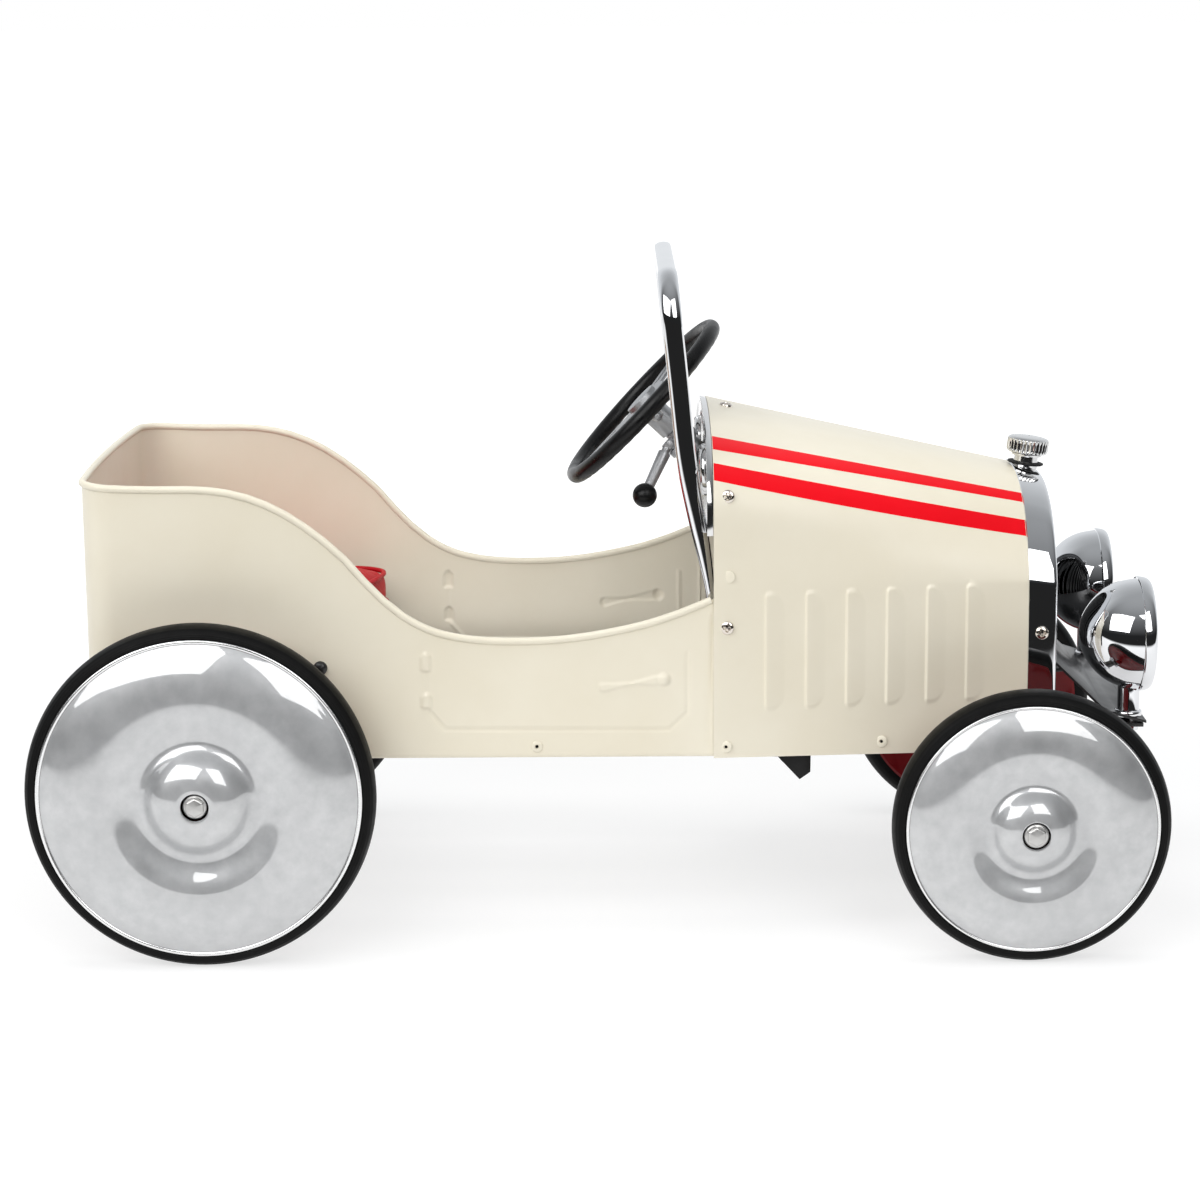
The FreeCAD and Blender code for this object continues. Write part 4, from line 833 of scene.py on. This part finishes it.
def windscreen():
    """Open hoop of oval tube that leans back over the dashboard."""
    thin = SCREEN_BAR / 2
    half = 137.5 - thin
    top = 480.4 - thin
    bend = 36.0 - thin
    low = 249.0
    path = [(-half, z) for z in np.linspace(low, top - bend, 44)]
    path += arc(-half + bend, top - bend, bend, 180, 90, 17)[1:]
    path += [(y, top) for y in np.linspace(-half + bend, half - bend, 18)][1:-1]
    path += arc(half - bend, top - bend, bend, 90, 0, 17)
    path += [(half, z) for z in np.linspace(top - bend, low, 44)][1:]
    lean = cubic([(x, z) for z, x in SCREEN_LEAN], 200)
    centre = [(float(np.interp(z, lean[:, 1], lean[:, 0])), y, z) for y, z in path]
    t = tangents(centre)
    wz, ww = zip(*SCREEN_WIDE)

    def ring(i):
        x, y, z = centre[i]
        wide = float(np.interp(z, wz, ww))
        across = np.array([1.0, 0.0, 0.12])
        across = across - t[i] * np.dot(across, t[i])
        across /= np.linalg.norm(across)
        out = np.cross(across, t[i])
        points = []
        for a in np.linspace(0, 2 * math.pi, 28, endpoint=False):
            points.append(np.array([x, y, z]) + across * wide * math.cos(a) + out * thin * math.sin(a))
        return points

    make("windscreen_hoop", [swept(centre, ring)], MAT["chrome"], "windscreen_frame", sharp=60)


# ---------------------------------------------------------------- lamps
def lamp(name, y):
    back = LAMP_BACK
    outer = cubic([(0.2, back), (9.0, back + 1.1), (20.5, back + 6.5), (31.0, back + 16.0),
                   (37.5, back + 28.0), (40.0, back + 41.0)], 40)
    shell = [tuple(p) for p in outer] + [(38.6, back + 41.0)]
    bowl = [(38.4, back + 40.0)] + [(r - 1.7, x + 2.2) for r, x in reversed(outer[6:-2])]
    make(name + "_bowl", [revolved(shell, 96, about_x(y, LAMP_Z))], MAT["chrome"],
         "headlight_shell_" + name, sharp=60)
    mirror = [tuple(p) for p in bowl] + [(3.2, back + 4.4)]
    make(name + "_reflector", [revolved(mirror, 72, about_x(y, LAMP_Z))], MAT["reflector"],
         body="chassis", slot="chrome")
    bulb = [(0.02, back + 24.0), (3.4, back + 23.2), (5.4, back + 20.4), (5.7, back + 17.0),
            (4.4, back + 13.0), (3.2, back + 10.6), (3.2, back + 4.0)]
    make(name + "_bulb", [revolved(bulb, 32, about_x(y, LAMP_Z))], MAT["glass"],
         body="chassis", slot="lamp_glass")


def lamps():
    rims = []
    glasses = []
    for name, y in (("right", -LAMP_Y), ("left", LAMP_Y)):
        lamp(name, y)
        x = LAMP_BACK + 41.0
        place = about_x(y, LAMP_Z)
        bezel = [(38.6, x - 0.2), (40.9, x), (41.4, x + 0.4), (41.5, x + 1.2), (41.2, x + 4.4),
                 (40.6, x + 6.8), (39.6, x + 8.4), (38.6, x + 8.95), (37.8, x + 8.6), (37.3, x + 7.2),
                 (37.1, x + 5.4)]
        rims.append(revolved(bezel, 112, place, closed=True))
        front = [(0.02, x + 8.4), (12.0, x + 8.0), (25.0, x + 6.9), (34.0, x + 5.4), (37.4, x + 4.7)]
        rear = [(37.4, x + 2.7), (25.0, x + 4.6), (12.0, x + 5.8), (0.02, x + 6.2)]
        glasses.append(revolved(front + rear, 96, place))
    make("lamp_rims", rims, MAT["chrome"], "headlight_bezels", sharp=55)
    make("lamp_glasses", glasses, MAT["glass"], "headlight_lenses", sharp=50)


def lamp_posts():
    parts = []
    for y in (-LAMP_Y, LAMP_Y):
        place = about((384.0, y, 0.0), (0, 0, 1))
        post = [(5.6, 153.2), (9.4, 153.2), (9.9, 153.8), (9.9, 156.4), (9.3, 157.3), (8.1, 157.8),
                (7.9, 158.6), (7.9, 170.0), (7.95, 174.0), (7.6, 176.5), (6.6, 178.0)]
        parts.append(revolved(post, 56, place))
        stud = [(0.02, 142.2), (3.2, 142.2), (3.8, 142.9), (3.9, 146.0), (3.9, 153.6)]
        parts.append(revolved(stud, 32, about((388.0, y, 0.0), (0, 0, 1))))
    make("lamp_post_pair", parts, MAT["chrome"], "headlight_posts", sharp=45)
    # lamp strap and front apron are dressed black: painted dark reflection on the strap, painted shade on the
    # cream apron
    bevel_copy("headlight_bracket", MAT["black"], 0.4, name="lamp_strap_painted_dark")
    bevel_copy("front_apron", MAT["black"], 0.4, name="apron_panel_painted_shade")


# ---------------------------------------------------------------- wheels
COVER = [(110.6, 0.0), (108.6, 0.9), (106.0, 2.4), (100.0, 5.2), (92.0, 7.8), (84.0, 9.4), (76.0, 10.3),
         (68.0, 10.4), (60.0, 9.2), (52.0, 6.6), (46.0, 4.9), (42.0, 4.6), (38.0, 6.0), (34.0, 9.8),
         (30.0, 14.0), (25.0, 17.4), (19.0, 19.6), (13.0, 20.9)]


def wheel_cover(name, x, r, side):
    """Domed dish with a raised boss and a rolled lip, the lip drawn with a painted highlight."""
    k = (r - 8.9) / 113.9
    f = WHEEL_FACE
    dish = [(a, f + b) for a, b in cubic([(a * k, b * k) for a, b in COVER], 110)]
    hub = dish[-1][1]
    dish += [(10.6, hub + 0.1), (9.9, hub - 0.1), (9.7, hub - 0.8), (9.7, hub - 2.0)]
    make("wheel_cover_dish_" + name, [revolved(dish, 160, about_y(x, r, side))], MAT["cover"],
         "wheel_cover_" + name, sharp=50)
    edge = 110.6 * k
    rim = r - 8.95
    roll = [(edge + (rim - edge) * (0.5 - 0.5 * math.cos(a)), f - 0.5 + 1.3 * math.sin(a))
            for a in np.linspace(0.12, math.pi - 0.1, 9)]
    lip = [(edge - 0.1, f - 0.6)] + roll + [(rim, f - 2.6)]
    # the lip is the cover metal drawn lighter: a painted highlight ring
    make("wheel_cover_lip_" + name, [revolved(lip, 160, about_y(x, r, side))], MAT["lip"],
         body=NODE_BODY["wheel_cover_" + name], slot="satin_cover")


def tyre(name, x, r, side):
    """Solid rubber tyre with fine moulded ribs on its side wall."""
    f = WHEEL_FACE
    lip = r - 8.9
    base = [(lip - 2.3, f - 4.0), (lip - 0.1, f - 3.8), (lip + 0.1, f - 1.0), (lip + 0.9, f - 0.2),
            (lip + 2.2, f - 0.1)]
    wall = []
    for t in np.linspace(0, 1, 22):
        a = t * math.pi / 2
        rr = lip + 2.6 + (r - lip - 2.6) * math.sin(a)
        yy = f - 0.3 - 11.7 * (1 - math.cos(a)) ** 1.1
        rib = 0.28 * max(0.0, math.cos((rr - lip - 3.0) * 2 * math.pi / 2.0)) * (rr < r - 0.9)
        wall.append((rr, yy + rib - 0.28))
    back = [(r - 0.5, f - 17.0), (r - 1.6, f - 19.8), (r - 3.4, f - 21.7), (lip + 4.0, f - 23.3),
            (lip + 1.0, f - 22.9), (lip - 2.2, f - 21.0)]
    make("tyre_rubber_" + name, [revolved(base + wall + back, 144, about_y(x, r, side))], MAT["tyre"],
         "tyre_" + name, sharp=60)


def cap_nut(x, r, side, out):
    """Round-shouldered cap nut with a small hexagon end and a thin washer."""
    f = WHEEL_FACE
    place = about_y(x, r, side)
    levels = [(8.9, -1.0, 0), (8.9, out - 4.4, 0), (8.6, out - 3.6, 0), (7.9, out - 2.9, 0),
              (7.1, out - 2.6, 0), (6.9, out - 2.5, 1), (6.8, out - 1.0, 1), (6.2, out - 0.35, 1),
              (5.4, out - 0.1, 1), (0.02, out, 1)]
    ring = []
    count = 72
    for reach, h, six in levels:
        for k in range(count):
            a = 2 * math.pi * k / count
            flat = reach * 0.885 / math.cos((a + math.pi / 6) % (math.pi / 3) - math.pi / 6)
            rr = min(flat, reach) if six else reach
            ring.append(place(rr * math.cos(a), rr * math.sin(a), f + h))
    washer = [(6.0, f - 1.3), (10.6, f - 1.3), (10.9, f - 0.9), (10.9, f + 0.7), (10.6, f + 1.1),
              (8.0, f + 1.1)]
    return [(ring, grid_faces(len(levels), count, wrap_cols=True)), revolved(washer, 64, place)]


def wheels():
    for name, (x, r, side) in WHEELS.items():
        wheel_cover(name, x, r, side)
        tyre(name, x, r, side)
        # the wheel discs use the red enamel darkened with painted shade
        bevel_copy("wheel_disc_" + name, MAT["disc_red"], 0.0, sharp=30)
    x, r, side = WHEELS["rear_right"]
    rear = cap_nut(x, r, -1, 21.5) + cap_nut(x, r, 1, 21.5)
    make("rear_cap_nuts", rear, MAT["nut"], "cap_nuts_rear", sharp=35)
    for name in ("front_right", "front_left"):
        x, r, side = WHEELS[name]
        make(name + "_cap_nut", cap_nut(x, r, side, 18.5), MAT["nut"], "cap_nut_" + name, sharp=35)


# ---------------------------------------------------------------- fasteners
def head(position, outward, radius, height, recess):
    """A round head on a fine polar grid; recess(u, v) gives how deep the driver slot is."""
    place = about(position, outward)
    rings = 14
    count = 48
    points = []
    for i in range(rings + 1):
        s = i / rings
        r = radius * min(s / 0.92, 1.0) + 1e-4
        dome = height * math.sqrt(max(1 - (r / radius) ** 2 * 0.86, 0.0))
        h = dome if s < 0.93 else -1.2 * (s - 0.92) / 0.08
        for k in range(count):
            a = 2 * math.pi * k / count
            u, v = r * math.cos(a), r * math.sin(a)
            points.append(place(u, v, h - (recess(u / radius, v / radius) if s < 0.93 else 0.0)))
    return points, grid_faces(rings + 1, count, wrap_cols=True)


def cross_slot(u, v):
    arm = 0.62
    w = 0.17
    a = soft_step((w - abs(u)) / 0.09 + 0.5) * soft_step((arm - abs(v)) / 0.16)
    b = soft_step((w - abs(v)) / 0.09 + 0.5) * soft_step((arm - abs(u)) / 0.16)
    return 1.5 * max(a, b)


def centre_hole(u, v):
    return 1.5 * float(soft_step((0.36 - math.hypot(u, v)) / 0.1))


def on_flank(x, z):
    """Point of the bonnet's right side at (x, z)."""
    p = section_at(x)
    half = len(p) // 2
    return (x, float(np.interp(z, p[:half, 1], p[:half, 0])), z)


def mirrored(parts):
    return parts + [([(x, -y, z) for x, y, z in points], quads) for points, quads in parts]


def fasteners():
    taper = (149.0 - 111.0) / (BONNET_FRONT - TUB_FRONT)
    flank = (-taper, -1.0, 0.0)
    screws = [head(on_flank(91.5, 231.0), flank, 4.7, 2.0, cross_slot),
              head(on_flank(92.0, 324.0), (-taper, -1.0, 0.12), 4.7, 2.0, cross_slot),
              head((318.0, -111.4, 218.0), (-0.05, -1.0, 0.05), 4.7, 2.0, cross_slot)]
    screws = mirrored(screws) + [head((96.0, 0.0, 368.0), (0.2, 0.0, 1.0), 4.7, 2.0, cross_slot)]
    make("screw_heads", screws, MAT["nickel"], "body_screws", sharp=55)
    rivets = [head((-43.3, -TUB_HALF, 145.8), (0.0, -1.0, 0.0), 4.2, 1.5, centre_hole)]
    for x, z in ((90.8, 144.8), (202.5, 143.3)):
        rivets.append(head(on_flank(x, z), flank, 4.2, 1.5, centre_hole))
    make("rivet_heads", mirrored(rivets), MAT["cream"], "pop_rivets", sharp=60)
    # dark discs set in the rivet holes: painted shade
    hole_shade_discs = []
    for p, n in (((-43.3, -TUB_HALF - 0.1, 145.8), (0.0, -1.0, 0.0)), (on_flank(90.8, 144.8), flank),
                 (on_flank(202.5, 143.3), flank)):
        hole_shade_discs.append(revolved([(0.02, 0.35), (1.15, 0.3), (1.45, 0.0)], 20, about(p, n)))
    make("rivet_hole_shade", mirrored(hole_shade_discs), MAT["hole"], body="chassis", slot="rivet_paint")
    make("bonnet_stud_bumps", mirrored([head(on_flank(92.5, 267.5), flank, 4.4, 0.8, lambda u, v: 0.0)]),
         MAT["cream"], body="chassis", slot="body_paint")
    bolt = [(0.02, 3.6), (2.4, 3.4), (4.2, 2.6), (4.95, 1.4), (5.0, 0.0)]
    bolts = [revolved(bolt, 40, about((-195.5, -TUB_HALF, 203.9), (0.0, -1.0, 0.0)))]
    bolts.append(revolved([(0.02, 5.6), (3.6, 5.5), (4.8, 4.7), (5.0, 3.9), (5.0, 0.0)], 6,
                          about((-195.5, -145.4, 203.9), (0.0, 1.0, 0.0))))
    make("seat_bolt_heads", mirrored(bolts), MAT["black"], "seat_bolts", sharp=40)


# ---------------------------------------------------------------- steering
def to_wheel(u, v, h):
    """From the flat of the steering wheel (u to its top, v to the left, h to the driver) to the car."""
    e1 = np.array([math.sin(TILT), 0.0, math.cos(TILT)])
    axis = np.array([-math.cos(TILT), 0.0, math.sin(TILT)])
    return tuple(WHEEL_CENTRE + e1 * u + np.array([0.0, 1.0, 0.0]) * v + axis * h)


def steering():
    points = []
    around = 168
    tube = 28
    for i in range(around):
        a = 2 * math.pi * i / around
        for j in range(tube):
            b = 2 * math.pi * j / tube
            finger = 0.16 * math.cos(44 * a) * max(0.0, -math.sin(b + 0.6))
            r = RIM_TUBE_R + finger - 0.16
            rr = WHEEL_R + r * math.cos(b)
            points.append(to_wheel(rr * math.cos(a), rr * math.sin(a), r * math.sin(b)))
    quads = grid_faces(around, tube, wrap_rows=True, wrap_cols=True)
    make("steering_wheel_rim", [(points, quads)], MAT["grip"], "steering_rim", sharp=70)
    bevel_copy("steering_spokes", MAT["silver"], 0.3, name="spoke_plate")
    bevel_copy("steering_hub", MAT["silver"], 0.5, name="hub_sleeve")
    bevel_copy("steering_column", MAT["zinc"], 0.3, name="column_shaft")
    axis = np.array([-math.cos(TILT), 0.0, math.sin(TILT)])
    spot = WHEEL_CENTRE - axis * 14.0 + np.array([0.0, -9.6, 0.0])
    screw = head(tuple(spot), (0.0, -1.0, 0.0), 4.2, 1.8, cross_slot)
    make("hub_screw", [screw], MAT["nickel"], body="steering_wheel", sharp=55, slot="screw_nickel")
    ball = [(9.0 * math.sin(a) + 1e-3, -9.0 * math.cos(a)) for a in np.linspace(0.001, math.pi - 0.001, 36)]
    low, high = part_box("lever_ball")
    centre = (np.array(low) + np.array(high)) / 2 / MM
    make("lever_knob", [revolved(ball, 56, about(tuple(centre), (0.3, 0.2, 1.0)))], MAT["grip"], "lever_ball")
    bevel_copy("hand_lever", MAT["silver"], 0.2, name="lever_rod")
    bevel_copy("lever_clamp", MAT["silver"], 0.4, name="lever_clamp_ring")
    bevel_copy("column_tube", MAT["silver"], 0.3, name="column_sleeve")
    bevel_copy("column_bearings", MAT["black"], 0.4, name="column_bushes")


# ---------------------------------------------------------------- frame and drive
def running_gear():
    black = ["chassis_frame", "front_axle_beam", "pedal_hangers", "seat_pan", "pedal_lever_right",
             "pedal_lever_left", "push_rod_right", "push_rod_left", "tie_rod", "radiator_grille"]
    for node in black:
        bevel_copy(node, MAT["black"], 0.45)
    for node in ("pedal_pivot_rod", "crank_axle", "knuckle_right", "knuckle_left"):
        bevel_copy(node, MAT["zinc"], 0.35)
    for node in ("pedal_pad_right", "pedal_pad_left"):
        bevel_copy(node, MAT["pedal"], 1.2)


# ---------------------------------------------------------------- seat
# metres: how far the cover starts inside its space, its corner sizes, and how far it may swell
COVER_INSET = (0.009, 0.009, 0.007)
COVER_CORNER = 0.022
COVER_EDGE = 0.007
COVER_GRID = 0.005
COVER_SWELL = 0.014
COVER_CROWN = 0.004
PIPING_R = 1.9


def seat():
    """Padded seat: a loose cover blown up by its filling, then piped round its top and bottom edges."""
    low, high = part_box("seat_cushion")
    centre = (low + high) / 2
    half = (high - low) / 2 - Vector(COVER_INSET)
    bm = bmesh.new()
    bmesh.ops.create_cube(bm, size=2.0)
    for v in bm.verts:
        v.co = centre + v.co * half
    upright = [e for e in bm.edges if abs(e.verts[0].co.z - e.verts[1].co.z) > 0.01]
    bmesh.ops.bevel(bm, geom=upright, offset=COVER_CORNER, segments=5, profile=0.5, affect="EDGES")
    level = [e for e in bm.edges if abs(e.verts[0].co.z - e.verts[1].co.z) < 1e-5 and len(e.link_faces) == 2
             and abs(e.link_faces[0].normal.z - e.link_faces[1].normal.z) > 0.5]
    bmesh.ops.bevel(bm, geom=level, offset=COVER_EDGE, segments=3, profile=0.5, affect="EDGES")
    mesh = bpy.data.meshes.new("seat_cover")
    bm.to_mesh(mesh)
    bm.free()
    piece = added("seat_cover", mesh)
    remesh = piece.modifiers.new("remesh", "REMESH")
    remesh.mode = "VOXEL"
    remesh.voxel_size = COVER_GRID
    settle(piece)
    inflate(piece)
    fit(piece, low, high)
    smooth = piece.modifiers.new("smooth", "SUBSURF")
    smooth.levels = 1
    settle(piece)
    dress(piece, MAT["seat"], "seat_cushion", sharp=80)
    for z, name in ((0.30, "low"), (0.80, "high")):
        seam(piece, low, high, z, name)


def inflate(piece):
    """Cloth under pressure, stepped for twenty frames, with every point's movement capped."""
    scene = bpy.context.scene
    start = np.array([v.co for v in piece.data.vertices])
    cloth = piece.modifiers.new("cloth", "CLOTH")
    cloth.settings.use_pressure = True
    cloth.settings.uniform_pressure_force = 4.0
    cloth.settings.effector_weights.gravity = 0.0
    cloth.settings.quality = 5
    cloth.collision_settings.use_collision = False
    for frame_number in range(1, 21):
        scene.frame_set(frame_number)
    settle(piece)
    scene.frame_set(1)
    end = np.array([v.co for v in piece.data.vertices])
    move = end - start
    length = np.linalg.norm(move, axis=1)
    move *= (np.minimum(length, COVER_SWELL) / np.maximum(length, 1e-9))[:, None]
    piece.data.vertices.foreach_set("co", (start + move).ravel())


def fit(piece, low, high):
    """Sizes the cushion to its space and presses its underside flat on the seat pan."""
    co = np.array([v.co for v in piece.data.vertices])
    size = co.max(0) - co.min(0)
    room = np.array(high) - np.array(low) + np.array([0.0, 0.0, COVER_CROWN])
    scale = np.minimum(room * 0.995 / size, 1.35)
    middle = (co.max(0) + co.min(0)) / 2
    co = (co - middle) * scale + (np.array(high) + np.array(low)) / 2
    floor = low.z + 0.0006
    co[:, 2] = np.maximum(co[:, 2], floor)
    piece.data.vertices.foreach_set("co", co.ravel())
    piece.data.update()


def seam(piece, low, high, share, name):
    """Piping round the cushion, laid on its side wall at a share of its height."""
    z = low.z + (high.z - low.z) * share
    co = np.array([v.co for v in piece.data.vertices])
    band = co[np.abs(co[:, 2] - z) < 0.0035]
    cx, cy = (low.x + high.x) / 2, (low.y + high.y) / 2
    count = 200
    angles = np.arctan2(band[:, 1] - cy, band[:, 0] - cx)
    path = []
    for k in range(count):
        a = -math.pi + 2 * math.pi * k / count
        near = np.abs((angles - a + math.pi) % (2 * math.pi) - math.pi) < 0.035
        if near.any():
            r = np.hypot(band[near, 0] - cx, band[near, 1] - cy).max() - 0.0006
            path.append(((cx + r * math.cos(a)) / MM, (cy + r * math.sin(a)) / MM, z / MM))
    path = np.array(path)
    for _ in range(3):
        path = (np.roll(path, 1, axis=0) + 2 * path + np.roll(path, -1, axis=0)) / 4
    make("seat_piping_" + name, [round_tube(path, PIPING_R, 12, closed=True)], MAT["seat"], body="chassis")


# ---------------------------------------------------------------- studio
def softbox(name, place, target, size, power, mirrored=True):
    light = bpy.data.lights.new(name, "AREA")
    light.shape = "RECTANGLE"
    light.size, light.size_y = size
    light.energy = power
    piece = added(name, light)
    piece.location = place
    piece.rotation_euler = (Vector(target) - Vector(place)).to_track_quat("-Z", "Y").to_euler()
    piece.visible_camera = False
    piece.visible_glossy = mirrored


def map_range(tree, low, high):
    """A node that turns low..high into 0..1."""
    node = tree.nodes.new("ShaderNodeMapRange")
    node.inputs["From Min"].default_value = low
    node.inputs["From Max"].default_value = high
    return node


def studio_world():
    """White to the eye. What the car mirrors is a white backdrop behind it and a dark room in front."""
    world = bpy.data.worlds.new("studio")
    bpy.context.scene.world = world
    world.use_nodes = True
    tree = world.node_tree
    tree.nodes.clear()
    links = tree.links
    coords = tree.nodes.new("ShaderNodeTexCoord")
    split = tree.nodes.new("ShaderNodeSeparateXYZ")
    links.new(coords.outputs["Generated"], split.inputs[0])
    ahead = direction_ramp(tree, split.outputs["Z"],
                           [(0.0, 0.02), (0.56, 0.02), (0.66, 0.09), (0.80, 0.17), (1.0, 0.42)])
    behind = direction_ramp(tree, split.outputs["Z"],
                            [(0.0, 0.30), (0.48, 0.60), (0.50, 0.86), (0.72, 0.80), (1.0, 0.42)])
    turn = map_range(tree, -0.05, 0.30)
    links.new(split.outputs["Y"], turn.inputs["Value"])
    blend = tree.nodes.new("ShaderNodeMix")
    blend.data_type = "RGBA"
    colors = [i for i in blend.inputs if i.type == "RGBA"]
    links.new(turn.outputs["Result"], blend.inputs[0])
    links.new(ahead, colors[0])
    links.new(behind, colors[1])
    room = tree.nodes.new("ShaderNodeBackground")
    links.new([o for o in blend.outputs if o.type == "RGBA"][0], room.inputs["Color"])
    white = tree.nodes.new("ShaderNodeBackground")
    white.inputs["Color"].default_value = (1.0, 1.0, 1.0, 1.0)
    path = tree.nodes.new("ShaderNodeLightPath")
    mix = tree.nodes.new("ShaderNodeMixShader")
    out = tree.nodes.new("ShaderNodeOutputWorld")
    links.new(path.outputs["Is Camera Ray"], mix.inputs["Fac"])
    links.new(room.outputs[0], mix.inputs[1])
    links.new(white.outputs[0], mix.inputs[2])
    links.new(mix.outputs[0], out.inputs["Surface"])


def direction_ramp(tree, height, stops):
    """Brightness of the room by how high a direction points: 0 is straight down, 1 straight up."""
    shift = map_range(tree, -1.0, 1.0)
    ramp = tree.nodes.new("ShaderNodeValToRGB")
    points = ramp.color_ramp.elements
    points[0].position = stops[0][0]
    points[1].position = stops[-1][0]
    for position, level in stops[1:-1]:
        points.new(position)
    for element, (position, level) in zip(points, stops):
        element.color = (level * 0.97, level, level * 1.03, 1.0)
    tree.links.new(height, shift.inputs["Value"])
    tree.links.new(shift.outputs["Result"], ramp.inputs["Fac"])
    return ramp.outputs["Color"]


def floor():
    """Pale sweep under the car, mostly self-lit, so that the shadows on it stay faint; its glow dips in a
    band under the car, a painted shadow band.

    The part in front of the car is pale to the eye, but the chrome mirrors it as a dark room.
    """
    mesh = bpy.data.meshes.new("studio_floor")
    front = -1.2
    corners = [(-40.0, -40.0, 0.0), (40.0, -40.0, 0.0), (40.0, 40.0, 0.0), (-40.0, 40.0, 0.0)]
    mesh.from_pydata(corners, [], [(0, 1, 2, 3)])
    piece = added("studio_floor", mesh)
    material = bpy.data.materials.new("studio_floor")
    material.use_nodes = True
    tree = material.node_tree
    tree.nodes.clear()
    coords = tree.nodes.new("ShaderNodeTexCoord")
    split = tree.nodes.new("ShaderNodeSeparateXYZ")
    near, far = front + 0.05, 1.7
    reach = map_range(tree, near, far)
    fade = tree.nodes.new("ShaderNodeValToRGB")
    # glow 0.74 near the camera, dipping to 0.68 in the band under the car as painted shadow, 1.0 far off
    stops = [(near, 0.74), (-0.74, 0.74), (-0.40, 0.68), (0.45, 0.68), (far, 1.0)]
    points = fade.color_ramp.elements
    for _ in stops[2:]:
        points.new(0.5)
    for element, (y, level) in zip(points, stops):
        element.position = (y - near) / (far - near)
        element.color = (level, level, level, 1.0)
    matt = tree.nodes.new("ShaderNodeBsdfDiffuse")
    matt.inputs["Color"].default_value = (0.36, 0.36, 0.36, 1.0)
    glow = tree.nodes.new("ShaderNodeEmission")
    add = tree.nodes.new("ShaderNodeAddShader")
    unlit = tree.nodes.new("ShaderNodeEmission")
    unlit.inputs["Color"].default_value = (0.02, 0.02, 0.02, 1.0)
    edge = map_range(tree, front + 0.02, front + 0.46)
    edge.interpolation_type = "SMOOTHSTEP"
    path = tree.nodes.new("ShaderNodeLightPath")
    seen = tree.nodes.new("ShaderNodeMath")
    seen.operation = "MAXIMUM"
    blend = tree.nodes.new("ShaderNodeMixShader")
    out = tree.nodes.new("ShaderNodeOutputMaterial")
    for start, end in ((coords.outputs["Object"], split.inputs[0]),
                       (split.outputs["Y"], reach.inputs["Value"]),
                       (reach.outputs["Result"], fade.inputs["Fac"]),
                       (fade.outputs["Color"], glow.inputs["Color"]),
                       (matt.outputs[0], add.inputs[0]),
                       (glow.outputs[0], add.inputs[1]),
                       (split.outputs["Y"], edge.inputs["Value"]),
                       (edge.outputs["Result"], seen.inputs[0]),
                       (path.outputs["Is Camera Ray"], seen.inputs[1]),
                       (seen.outputs[0], blend.inputs["Fac"]),
                       (unlit.outputs[0], blend.inputs[1]),
                       (add.outputs[0], blend.inputs[2]),
                       (blend.outputs[0], out.inputs["Surface"])):
        tree.links.new(start, end)
    mesh.materials.append(material)


# metres, radians (pitch down, yaw, roll) and millimetres of focal length
CAMERA_PLACE = (0.0154, -2.1757, 0.6792)
CAMERA_TURN = (0.2077, -0.0065, -0.0078)
CAMERA_LENS = 88.61


def camera():
    """Low three-quarter-height view of the car's right side."""
    place = Vector(CAMERA_PLACE)
    pitch, yaw, roll = CAMERA_TURN
    forward = Vector((math.sin(yaw) * math.cos(pitch), math.cos(yaw) * math.cos(pitch), -math.sin(pitch)))
    right = Vector((math.cos(yaw), -math.sin(yaw), 0.0))
    up = right.cross(forward)
    across = right * math.cos(roll) + up * math.sin(roll)
    upright = up * math.cos(roll) - right * math.sin(roll)
    turn = Matrix((across, upright, -forward)).transposed().to_4x4()
    lens = bpy.data.cameras.new("camera")
    lens.lens = CAMERA_LENS
    lens.sensor_width = 36.0
    lens.clip_end = 60.0
    piece = added("camera", lens)
    piece.matrix_world = Matrix.Translation(place) @ turn
    bpy.context.scene.camera = piece


def studio():
    studio_world()
    floor()
    camera()
    softbox("key_box", (-1.14, -1.56, 1.46), (0.0, 0.0, 0.22), (2.1, 1.5), 30.0)
    softbox("front_box", (0.80, -1.80, 1.44), (0.0, 0.0, 0.22), (1.1, 1.5), 15.5)
    softbox("top_box", (0.0, -0.2, 2.3), (0.0, 0.0, 0.2), (2.4, 1.2), 23.0, mirrored=False)
    bpy.context.scene.view_settings.view_transform = "Standard"


# ---------------------------------------------------------------- the car
studio()
tub_skin()
bonnet_skin()
stripes()
radiator_surround()
radiator_cap()
dashboard()
windscreen()
lamps()
lamp_posts()
wheels()
fasteners()
steering()
running_gear()
seat()
